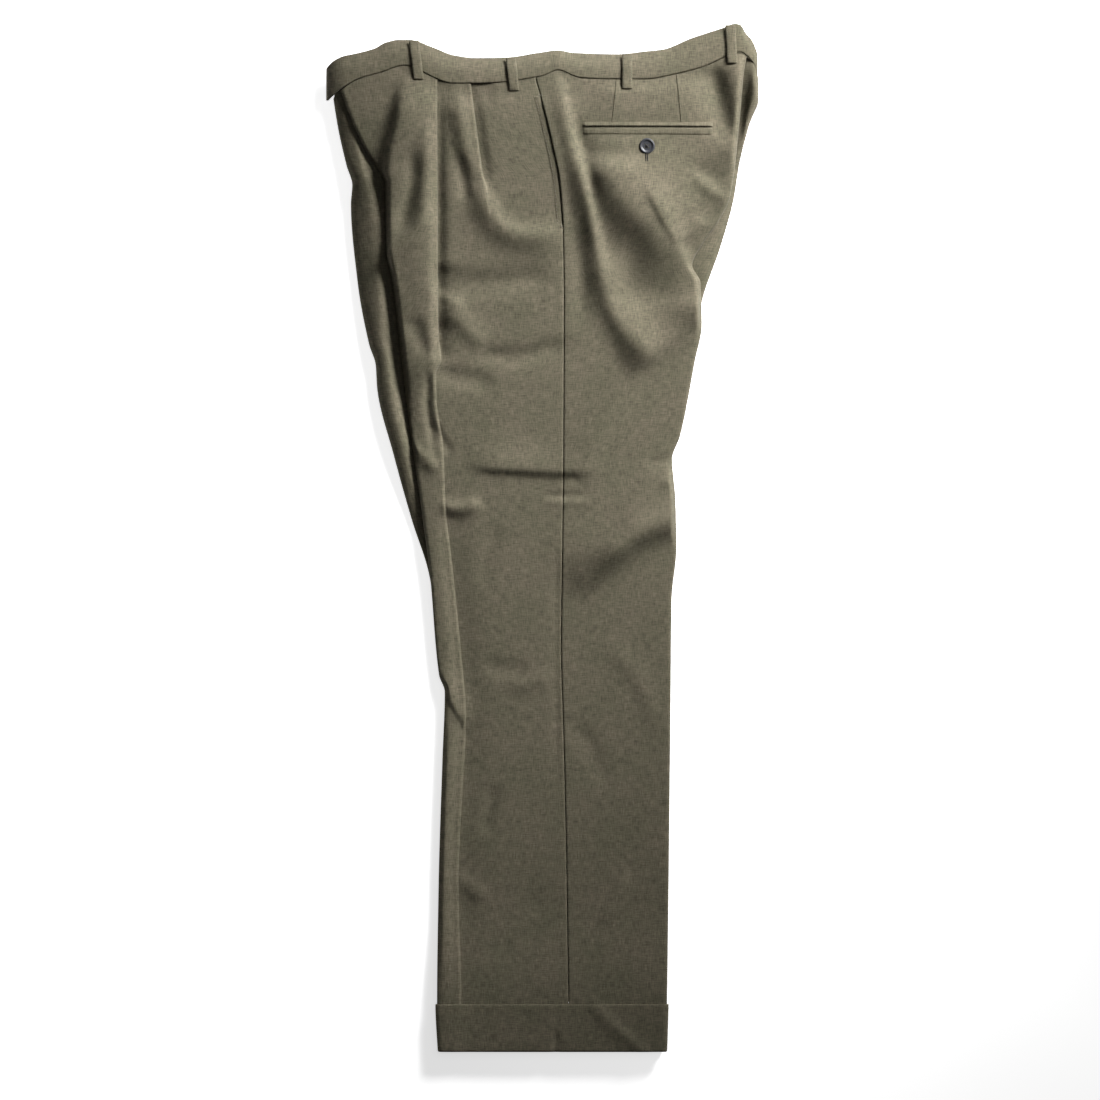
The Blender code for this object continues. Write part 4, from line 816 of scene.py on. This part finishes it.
# --- materials ---
class Nodes:
    """A short way to write a node tree."""

    def __init__(self, name):
        self.material = bpy.data.materials.new(name)
        self.material.use_nodes = True
        self.tree = self.material.node_tree
        self.shader = self.tree.nodes["Principled BSDF"]

    def add(self, kind, values=(), **settings):
        node = self.tree.nodes.new(kind)
        for key, value in settings.items():
            setattr(node, key, value)
        for key, value in dict(values).items():
            if isinstance(value, bpy.types.NodeSocket):
                self.tree.links.new(value, node.inputs[key])
            else:
                node.inputs[key].default_value = value
        return node

    def math(self, operation, a, b=0.0):
        return self.add("ShaderNodeMath", {0: a, 1: b}, operation=operation).outputs[0]

    def link(self, output, socket):
        self.tree.links.new(output, self.shader.inputs[socket])

    def set(self, values):
        """The shader's own values, by socket."""
        for socket, value in values.items():
            self.shader.inputs[socket].default_value = value


def noise(nodes, vector, scale, detail=3.0, roughness=0.55):
    made = nodes.add("ShaderNodeTexNoise", {"Vector": vector, "Scale": scale, "Detail": detail,
                                            "Roughness": roughness})
    return made.outputs["Fac"]


def thread_noise(nodes, uv, across, along, detail=3.0):
    """Noise on the cloth, with so many turns a metre each way."""
    scaled = nodes.add("ShaderNodeMapping", {"Vector": uv, "Scale": (across, along, 1.0)})
    return noise(nodes, scaled.outputs["Vector"], 1.0, detail)


def blended(nodes, a, share_a, b, share_b):
    a, b = nodes.math("MULTIPLY", a, share_a), nodes.math("MULTIPLY", b, share_b)
    return nodes.math("ADD", a, b)


def ramp(nodes, value, stops, colours):
    """A colour ramp between two stops."""
    made = nodes.add("ShaderNodeValToRGB", {"Fac": value})
    for element, place, colour in zip(made.color_ramp.elements, stops, colours):
        element.position = place
        element.color = (*colour, 1.0)
    return made.outputs["Color"]


def greys(values):
    return [(value, value, value) for value in values]


def scaled_colour(colour, factor):
    return tuple(min(1.0, channel * factor) for channel in colour)


def multiplied(nodes, a, b):
    made = nodes.add("ShaderNodeMix", data_type="RGBA", blend_type="MULTIPLY")
    made.inputs[0].default_value = 1.0
    nodes.tree.links.new(a, made.inputs[6])
    nodes.tree.links.new(b, made.inputs[7])
    return made.outputs[2]


def wool_material(name, shade=1.0):
    """Worsted wool: greenish warp and brownish weft threads, slubs, a soft nap and a weave."""
    nodes = Nodes(name)
    uv = nodes.add("ShaderNodeUVMap", uv_map="cloth").outputs["UV"]
    warp = thread_noise(nodes, uv, THREAD_FINE, THREAD_LONG)
    weft = thread_noise(nodes, uv, THREAD_LONG, THREAD_FINE)
    patch = thread_noise(nodes, uv, PATCH_SCALE, PATCH_SCALE, 4.0)
    broad = thread_noise(nodes, uv, BROAD_SCALE, BROAD_SCALE)
    # a shade below 1 darkens both colours, which makes the inside copy's painted shade
    green, brown = scaled_colour(WOOL_GREEN, shade), scaled_colour(WOOL_BROWN, shade)
    threads = blended(nodes, warp, 0.5, weft, 0.5)
    tone = blended(nodes, patch, 0.35, broad, 0.65)
    base = ramp(nodes, tone, TONE_STOPS, (green, brown))
    light = ramp(nodes, threads, TONE_STOPS, greys(THREAD_TONES))
    mottle = ramp(nodes, patch, MOTTLE_STOPS, greys(MOTTLE_TONES))
    nodes.link(multiplied(nodes, multiplied(nodes, base, light), mottle), "Base Color")
    parts = nodes.add("ShaderNodeSeparateXYZ", {"Vector": uv}).outputs
    across, along = (nodes.math("SINE", nodes.math("MULTIPLY", parts[axis], tau / WEAVE_PITCH))
                     for axis in "XY")
    weave = nodes.math("MULTIPLY", across, along)
    height = blended(nodes, weave, 0.25, threads, 1.0)
    bump = nodes.add("ShaderNodeBump", {"Strength": 0.28, "Distance": 0.0004, "Height": height})
    nodes.link(bump.outputs["Normal"], "Normal")
    nodes.set({"Roughness": 0.85, "Specular IOR Level": 0.08, "Sheen Weight": 0.03,
               "Sheen Roughness": 0.45})
    return nodes.material


def plain_material(name, colour, roughness, level):
    """One colour with a fine cloud in it."""
    nodes = Nodes(name)
    where = nodes.add("ShaderNodeTexCoord").outputs["Object"]
    tones = [scaled_colour(colour, factor) for factor in PLAIN_TONES]
    cloud = noise(nodes, where, PLAIN_SCALE, 4.0)
    nodes.link(ramp(nodes, cloud, CLOUD_STOPS, tones), "Base Color")
    nodes.set({"Roughness": roughness, "Specular IOR Level": level})
    return nodes.material


# --- the cloth pieces ---
def band_rounding(x):
    """1 along the band, falling to 0 at its rounded ends."""
    past = np.clip((np.abs(x) - BAND_FLAT_END) / (BAND_END - BAND_FLAT_END), 0.0, 1.0)
    return np.sqrt(1.0 - past * past)


def band_point(x, q):
    """The upper band's outer face: q is 0 at the waist seam and 1 at the top edge."""
    angle = q * BAND_TILT
    y_seam = seam_y(x) + BAND_LIFT
    y = y_seam + (top_y(x) - y_seam) * np.sin(angle) / sin(BAND_TILT)
    fall = (np.cos(angle) - cos(BAND_TILT)) / (1.0 - cos(BAND_TILT))
    z = mix(BAND_EDGE_Z, lay(x, y_seam) + pleat_set(x, y_seam), fall)
    return y, BAND_END_Z + (z - BAND_END_Z) * band_rounding(x)


def waistband_left_grid():
    """The upper half of the band, from the waist seam to its top edge."""
    end = BAND_END - GAP
    x, q = np.meshgrid(np.linspace(-end, end, int(2 * BAND_END / BAND_FINE)),
                       np.linspace(0.0, 1.0, BAND_ROWS))
    y, z = band_point(x, q)
    return np.stack([x, y, z + BAND_SWELL * np.sin(np.pi * q) ** 2], axis=-1)


def waistband_right_grid():
    """The lower half of the band, flat on the surface."""
    x, share = np.meshgrid(np.linspace(-UNDER_BAND_END, UNDER_BAND_END, 120),
                           np.linspace(0.0, 1.0, 8))
    y = mix(under_bent(x, WAIST_Y) + GAP, top_y(x) - UNDER_BAND_INSET, share)
    return np.stack([x, y, np.full_like(x, UNDER_BAND_Z)], axis=-1)


def lowest(x, y):
    """The least height of the upper panels near each point."""
    near = [(x + dx, y + dy) for dx in NEAR_X for dy in NEAR_Y]
    return np.min([lay(*point) + folded_height(*point) for point in near], axis=0)


def inner_band_ring(share, across):
    """A section of the hidden layers behind the waistband, at a share of the band's depth."""
    x = mix(-INNER_BAND_END, INNER_BAND_END, across)
    y, z = band_point(x, share)
    part, more, least = INNER_BAND_TOP
    return x, y, np.maximum(z * part + more, least), np.full_like(x, INNER_BAND_BOTTOM)


def inner_leg_ring(row_y, across):
    """A section of the hidden layers between the panels."""
    row = np.array([row_y])
    inset = FOLD_RX + TUCK + INNER_INSET
    left = max(on_row(edge, row)[0][0] for edge in (front_x, under_front_x)) + inset
    right = min(on_row(edge, row)[0][0] for edge in (back_x, under_back_x)) - inset
    x = mix(left, right, across)
    y = bent(x, row_y)
    top = lowest(x, y) - CLOTH - INNER_DEPTH
    bottom = mix(CLOTH, BAND_WALL, smooth(*INNER_BAND_FROM, row_y)) + INNER_CLEAR
    bottom += CUFF_LIFT * cuffed(row_y)
    return x, y, np.maximum(top, bottom + 1.0), np.full_like(x, bottom)


def inner_grid():
    """The hidden layers' closed rings, a little inside the solid that stands for them."""
    across = (1 - np.cos(np.linspace(0, np.pi, INNER_COLUMNS))) / 2
    rings = [inner_band_ring(share, across) for share in INNER_BAND_SHARES]
    rings += [inner_leg_ring(row_y, across)
              for row_y in np.linspace(WAIST_Y - 30, CUFF_TOP + 2, INNER_ROWS)]
    rounding = np.sqrt(np.clip(1 - (2 * across - 1) ** 8, 0, 1))
    grid = []
    for x, y, top, bottom in rings:
        upper = np.stack([x, y, mix(mix(bottom, top, 0.45), top, rounding)], axis=-1)
        lower = np.stack([x, y, bottom], axis=-1)[::-1]
        grid.append(np.concatenate([upper, lower]))
    return np.array(grid)


def ring_moved(ring, distance):
    """A closed section moved outwards in its own plane."""
    d = np.roll(ring, -1, axis=0) - np.roll(ring, 1, axis=0)
    length = np.hypot(d[:, 0], d[:, 2])
    moved = ring.copy()
    moved[:, 0] -= d[:, 2] / length * distance
    moved[:, 2] += d[:, 0] / length * distance
    return moved


def turn_up_grid(make_ring, outwards):
    """A turned-up hem: a soft lip at its top edge, a rounded fold at the bottom."""
    profile = [(CUFF_TOP - down, out) for down, out in CUFF_LIP]
    profile += [(y, CUFF_BELLY) for y in np.linspace(CUFF_TOP - 3, HEM_Y + 3, CUFF_ROWS)]
    profile += [(HEM_Y + up, out) for up, out in CUFF_FOLD]
    rows = []
    for y, out in profile:
        ring = ring_moved(make_ring(np.array([y])), outwards * (CUFF_LIFT + out))
        ring[:, 1] = y
        rows.append(ring)
    return np.array(rows)


def section_points(columns, row_y, steps, folds=True):
    """One section of a leg, x, y, z, with so many steps between its columns."""
    x, z, share = (part[0] for part in refined(columns, [steps] * (len(columns) - 1)))
    if folds:
        z = z + np.clip(share, 0, 1) * folded_height(x, bent(x, row_y[0]))
    return np.stack([x, np.full_like(x, row_y[0]), z], axis=-1)


def left_ring(row_y):
    """The upper leg's section at a turn-up, where the pleats' columns are left out."""
    front, back = front_left_columns(row_y), back_left_columns(row_y)
    after_pleat = PANEL_RUN + PLEAT_TURN - 1
    after_crease = after_pleat + PLEAT_RUN + PLEAT_TURN
    front = front[:PANEL_RUN] + front[after_pleat:][:PLEAT_RUN + 1] + front[after_crease:]
    front = section_points(front, row_y, RING_STEPS)
    back = section_points(back, row_y, RING_STEPS - 1)
    return np.concatenate([front[::-1], back[1:]])


def right_ring(row_y):
    """The lower leg's section at a turn-up."""
    front, back = (section_points(right_leg_columns(row_y, *form), row_y, RING_STEPS, False)
                   for form in (FRONT_FORM, BACK_FORM))
    return np.concatenate([front[1:][::-1], back[1:]])


def thicken(thing, thickness, offset=-1.0, levels=0):
    """A wall inwards of the face, or outwards with offset 1, then rounded."""
    wall = thing.modifiers.new("Cloth", "SOLIDIFY")
    wall.thickness = thickness * MM
    wall.offset = offset
    if levels:
        soft = thing.modifiers.new("Soft", "SUBSURF")
        soft.levels = soft.render_levels = levels


# --- what lies on the cloth ---
def tree_over(things):
    """The objects' faces, for finding the height of the cloth."""
    points, faces = [], []
    for thing in things:
        start = len(points)
        points += [thing.matrix_world @ vertex.co for vertex in thing.data.vertices]
        faces += [[start + i for i in face.vertices] for face in thing.data.polygons]
    return BVHTree.FromPolygons(points, faces)


def drop(tree, x, y):
    """The cloth's height straight below a point, and its normal."""
    hit, normal, _, _ = tree.ray_cast(Vector((x * MM, y * MM, 0.2)), Vector((0, 0, -1)))
    if hit is None:
        return None, Vector((0, 0, 1))
    if normal.z < 0:
        normal = -normal
    return hit.z / MM, normal


def highest(tree, x, y, reach=2.0):
    """The greatest height of the cloth within reach of a point."""
    near = [drop(tree, x + dx, y + dy)[0] for dx in (-reach, 0, reach) for dy in (-reach, 0, reach)]
    near = [z for z in near if z is not None]
    return max(near) if near else BAND_EDGE_Z


def strip_grid(tree, rows, rise, reach=2.0):
    """rows[i][j] = (x, y); rise(i, j) is the height over the cloth, read within reach."""
    grid = []
    for i, row in enumerate(rows):
        grid.append([(x, y, highest(tree, x, y, reach) + rise(i, j))
                     for j, (x, y) in enumerate(row)])
    return np.array(grid)


def cord(builder, centres, normals, widths):
    """A round thread through the given centres, in millimetres."""
    rings = []
    for k, (centre, normal, width) in enumerate(zip(centres, normals, widths)):
        ahead = centres[min(k + 1, len(centres) - 1)] - centres[max(k - 1, 0)]
        side = normal.cross(ahead).normalized()
        rings.append([builder.verts.new((centre + side * cos(a) * width
                                         + normal * sin(a) * width) * MM)
                      for a in (tau * s / THREAD_SIDES for s in range(THREAD_SIDES))])
    for a, b in zip(rings, rings[1:]):
        for i in range(THREAD_SIDES):
            j = (i + 1) % THREAD_SIDES
            builder.faces.new((a[i], a[j], b[j], b[i]))


def stitches(name, tree, lines, material, radius=THREAD_RADIUS):
    """Threads on the cloth along lines (x0, y0, x1, y1), dipping in at both ends."""
    builder = bmesh.new()
    for x0, y0, x1, y1 in lines:
        centres, normals, widths = [], [], []
        for t in (k / THREAD_STEPS for k in range(THREAD_STEPS + 1)):
            x, y = mix(x0, x1, t), mix(y0, y1, t)
            z, normal = drop(tree, x, y)
            if z is None:  # over the open seam
                break
            bow = sin(pi * t)
            rise = THREAD_LIFT + radius * (1.6 * bow - 0.9)
            centres.append(Vector((x, y, z)) + normal * rise)
            normals.append(normal)
            widths.append(radius * (0.55 + 0.45 * bow))
        if len(centres) > 1:
            cord(builder, centres, normals, widths)
    placed(name, mesh_of(name, builder), material)


def stitch_row(name, tree, path, material, length=2.2, gap=1.1, radius=THREAD_RADIUS):
    """Even stitches along a path of (x, y)."""
    path = np.array(path, float)
    place = np.concatenate([[0.0], np.cumsum(np.hypot(*np.diff(path, axis=0).T))])
    lines = []
    for start in np.arange(gap, place[-1] - length, length + gap):
        ends = [[float(np.interp(at, place, path[:, axis])) for axis in (0, 1)]
                for at in (start, start + length)]
        lines.append((*ends[0], *ends[1]))
    stitches(name, tree, lines, material, radius)


def loop_rows(x_bottom, x_top, columns=9, count=26):
    """A loop's points (x, y), row by row from its lower end."""
    y_low, y_high = seam_y(x_bottom) - LOOP_DROP, top_y(x_top) - LOOP_SHORT
    rows = []
    for t in np.arange(count) / (count - 1):
        x, y = mix(x_bottom, x_top, t), mix(y_low, y_high, t)
        rows.append([(x + LOOP_WIDTH * (j / (columns - 1) - 0.5), y) for j in range(columns)])
    return rows


def averaged(values):
    """Five-point averages along a line."""
    return np.convolve(np.pad(values, 2, mode="edge"), np.ones(5) / 5, "valid")


def loop_grid(tree, rows):
    """A loop's face: on the panel at its foot, then straight across the band's waves."""
    count, columns = len(rows), len(rows[0])
    domed = [1 - abs(2 * j / (columns - 1) - 1) ** 4 for j in range(columns)]

    def rise(i, j):
        return LOOP_LIFT + LOOP_ROUND * domed[j] * min(1.0, 10 * i / (count - 1) + 0.3)

    grid = strip_grid(tree, rows, rise)
    spine = grid[:, :, 2].max(axis=1)
    for _ in range(6):
        spine = np.maximum(spine, averaged(spine))
    t = np.linspace(0, 1, count)
    middle = grid[:, columns // 2, 2]
    free = middle + (averaged(spine) - middle) * smooth(0.0, LOOP_FREE, t)
    free = free + LOOP_BOW * np.sin(pi * t) ** 0.6
    across = LOOP_ROUND * (np.array(domed) - 1)
    grid[:, :, 2] = mix(grid[:, :, 2], free[:, None] + across, smooth(0.0, LOOP_FOOT, t)[:, None])
    return grid


def make_belt_loops(tree, material, thread):
    for name, x_bottom, x_top in BELT_LOOPS:
        rows = loop_rows(x_bottom, x_top)
        loop = cloth_piece(name, loop_grid(tree, rows), material, (0.012, 0.048),
                           "waistband_left_cloth")
        thicken(loop, TRIM, -1.0, 1)
        on_loop = tree_over([loop])
        for side, tag in ((-1, "a"), (1, "b")):
            share = 0.5 + side * LOOP_STITCH_AT
            path = [(mix(row[0][0], row[-1][0], share), row[0][1]) for row in rows[1:-1]]
            stitch_row("%s_stitch_%s" % (name, tag), on_loop, path, thread, **LOOP_STITCH)


def make_welt(tree, material):
    """The back pocket's lip and welt, in one strip."""
    rows = [[(mix(WELT["left"], WELT["right"], j / WELT_COLUMNS), WELT["mouth"] + up)
             for j in range(WELT_COLUMNS + 1)] for up, _ in WELT_PROFILE]

    def rise(i, j):
        inside = smooth(0.0, WELT["end_run"], float(min(j, WELT_COLUMNS - j)))
        return mix(WELT["end_depth"], WELT_PROFILE[i][1], inside)

    cloth_piece("pocket_welt_back_left", strip_grid(tree, rows, rise, 0.8), material,
                (0.139, 0.016), "back_left_cloth")


def make_side_pocket(tree, material, thread):
    """The side pocket's turned edge with its stitching, and a bar tack at each end."""
    top, bottom, width, inset = POCKET_EDGE
    last = len(POCKET_EDGE_PROFILE) - 1
    rows = []
    for i in range(POCKET_EDGE_ROWS + 1):
        y = mix(top, bottom, i / POCKET_EDGE_ROWS)
        x = float(outseam_x(y)) - inset
        rows.append([(x - width * (1 - j / last), y) for j in range(last + 1)])

    def rise(i, j):
        tail = max(0.0, i - POCKET_EDGE_ROWS + POCKET_TAIL_ROWS) / POCKET_TAIL_ROWS
        return POCKET_EDGE_PROFILE[j] - POCKET_TAIL_DEPTH * tail

    strip = cloth_piece("pocket_edge_side_left", strip_grid(tree, rows, rise, 0.5), material,
                        (0.01, 0.138), "front_left_cloth")
    thicken(strip, STRIP_WALL)
    path = [row[POCKET_STITCH_COLUMN] for row in rows[2:-1]]
    stitch_row("pocket_edge_stitch", tree_over([strip]), path, thread)
    for name, y in (("pocket_tack_top", top), ("pocket_tack_bottom", bottom)):
        x = float(outseam_x(y))
        lines = [(x - TACK_FRONT, y + up, x + TACK_BACK, y + up) for up in TACK_ROWS]
        stitches(name, tree, lines, thread, TACK_RADIUS)


def make_darts(tree, material):
    """Two darts, pressed towards the back, from the waistband to the pocket's mouth."""
    def rise(i, j):
        height = DART_PROFILE[j][1]
        return height if height < 0 else height * (1.0 - DART_FLATTER * i / DART_ROWS)

    for number, (upper, lower) in enumerate(DARTS, 1):
        rows = []
        for i in range(DART_ROWS):
            x, y = (mix(upper[axis], lower[axis], i / (DART_ROWS - 1)) for axis in (0, 1))
            y = min(y, float(seam_y(x)) - 0.5)
            rows.append([(x + across, y) for across, _ in DART_PROFILE])
        dart = cloth_mesh("dart_%d" % number, strip_grid(tree, rows, rise, 0.2), material)


def dress_button(button, tree, horn, thread):
    """The button's horn, the thread crossed through its holes, and the buttonhole below."""
    for material_slot in button.material_slots:
        material_slot.material = horn
    x0, y0 = BUTTON_AT
    z0, up = drop(tree_over([button]), x0, y0)
    builder = bmesh.new()
    for quarter in (0, 1):
        angle = tau * (2 * quarter + 1) / 8
        centres = []
        for t in np.linspace(-1.0, 1.0, 9).tolist():
            out = HOLE_CIRCLE * t
            z = z0 + BUTTON_THREAD_LIFT + 0.3 * quarter - BUTTON_THREAD_DIP * t ** 4
            centres.append(Vector((x0 + out * cos(angle), y0 + out * sin(angle), z)))
        cord(builder, centres, [up] * len(centres), [BUTTON_THREAD_RADIUS] * len(centres))
    placed("button_thread", mesh_of("button_thread", builder), thread)
    x, top, bottom = BUTTONHOLE
    lines = []
    for y in np.arange(bottom, top, BUTTONHOLE_STEP):
        lines += [(x - BUTTONHOLE_REACH, y, x - BUTTONHOLE_SLIT, y + 0.1),
                  (x + BUTTONHOLE_SLIT, y + 0.1, x + BUTTONHOLE_REACH, y)]
    stitches("buttonhole_stitches", tree, lines, thread, BUTTONHOLE_RADIUS)


# --- light, floor and camera ---
def area_light(name, at, towards, size, power, spread):
    """A lamp at one place, facing another."""
    data = bpy.data.lights.new(name, "AREA")
    data.shape = "RECTANGLE"
    data.size, data.size_y = size
    data.energy = power
    data.spread = radians(spread)
    light = linked(name, data)
    light.location = at
    away = Vector(towards) - light.location
    light.rotation_euler = away.to_track_quat("-Z", "Y").to_euler()


def paper_material():
    """White paper that glows a little, less towards the photo's lower left."""
    nodes = Nodes("paper")
    where = nodes.add("ShaderNodeTexCoord").outputs["Object"]
    cloud = noise(nodes, where, 3.0, 2.0)
    nodes.link(ramp(nodes, cloud, CLOUD_STOPS, greys(PAPER_TONES)), "Base Color")
    nodes.set({"Roughness": 0.9, "Specular IOR Level": 0.1, "Emission Color": (1.0, 1.0, 1.0, 1.0)})
    corner = nodes.add("ShaderNodeVectorMath", {0: where, 1: GLOW_FALLS}, operation="DOT_PRODUCT")
    spans = zip(("From Min", "From Max", "To Min", "To Max"), (*GLOW_SPAN, *GLOW))
    glow = nodes.add("ShaderNodeMapRange", {"Value": corner.outputs["Value"], **dict(spans)})
    nodes.link(glow.outputs["Result"], "Emission Strength")
    return nodes.material


def make_floor():
    builder = bmesh.new()
    bmesh.ops.create_grid(builder, x_segments=2, y_segments=2, size=FLOOR_HALF)
    floor = linked("floor", mesh_of("floor", builder))
    floor.location = (0, 0, FLOOR_Z)
    floor.data.materials.append(paper_material())


def make_studio():
    make_floor()
    world = bpy.data.worlds.new("studio")
    world.use_nodes = True
    background = world.node_tree.nodes["Background"]
    background.inputs["Color"].default_value = (1.0, 1.0, 1.0, 1.0)
    background.inputs["Strength"].default_value = WORLD_LIGHT
    bpy.context.scene.world = world
    for light in LIGHTS:
        area_light(*light)
    camera_data = bpy.data.cameras.new("camera")
    camera_data.lens = LENS
    camera_data.sensor_width = SENSOR
    camera_data.clip_end = 20.0
    camera = linked("camera", camera_data)
    camera.location = CAMERA_AT
    bpy.context.scene.camera = camera
    bpy.context.scene.view_settings.view_transform = "Standard"


def main():
    make_studio()
    wool = wool_material("fine_wool")
    # the same wool darkened for the hidden inner layers: painted shade
    inside = wool_material("fine_wool_inside", INSIDE_PAINTED_SHADE)
    thread = plain_material("sewing_thread", THREAD_COLOUR, 0.7, 0.3)
    dark_thread = plain_material("button_thread", DARK_THREAD_COLOUR, 0.7, 0.3)
    horn = plain_material("horn", HORN_COLOUR, 0.42, 0.45)

    front_left = cloth_piece("front_left", left_panel_grid(front_left_columns, -1), wool,
                             (0.215, 1.04), "inner_layers_cloth")
    back_left = cloth_piece("back_left", left_panel_grid(back_left_columns, 1), wool,
                            (0.190, 1.04), "inner_layers_cloth")
    cloth_piece("front_right", right_panel_grid(*FRONT_FORM), wool, (0.200, 1.04), "floor")
    cloth_piece("back_right", right_panel_grid(*BACK_FORM), wool, (0.180, 1.04), "floor")
    band = cloth_piece("waistband_left", waistband_left_grid(), wool, (0.452, 0.045),
                       "inner_layers_cloth")
    under_band = cloth_piece("waistband_right", waistband_right_grid(), wool, (0.436, 0.045),
                             "floor")
    cloth_piece("turn_up_left", turn_up_grid(left_ring, 1), wool, (0.520, 0.06),
                "turn_up_right_cloth", closed=True)
    cloth_piece("turn_up_right", turn_up_grid(right_ring, -1), wool, (0.520, 0.06), "floor",
                closed=True)
    cloth_piece("inner_layers", inner_grid(), inside, (0.60, 0.98), "front_right_cloth",
                slot="wool_inside", closed=True)
    thicken(band, BAND_WALL)
    thicken(under_band, BAND_WALL, 1.0)

    tree = tree_over([front_left, back_left, band])
    make_belt_loops(tree, wool, thread)
    make_welt(tree, wool)
    make_side_pocket(tree, wool, thread)
    make_darts(tree, wool)
    dress_button(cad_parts["button_back_left"], tree, horn, dark_thread)


main()
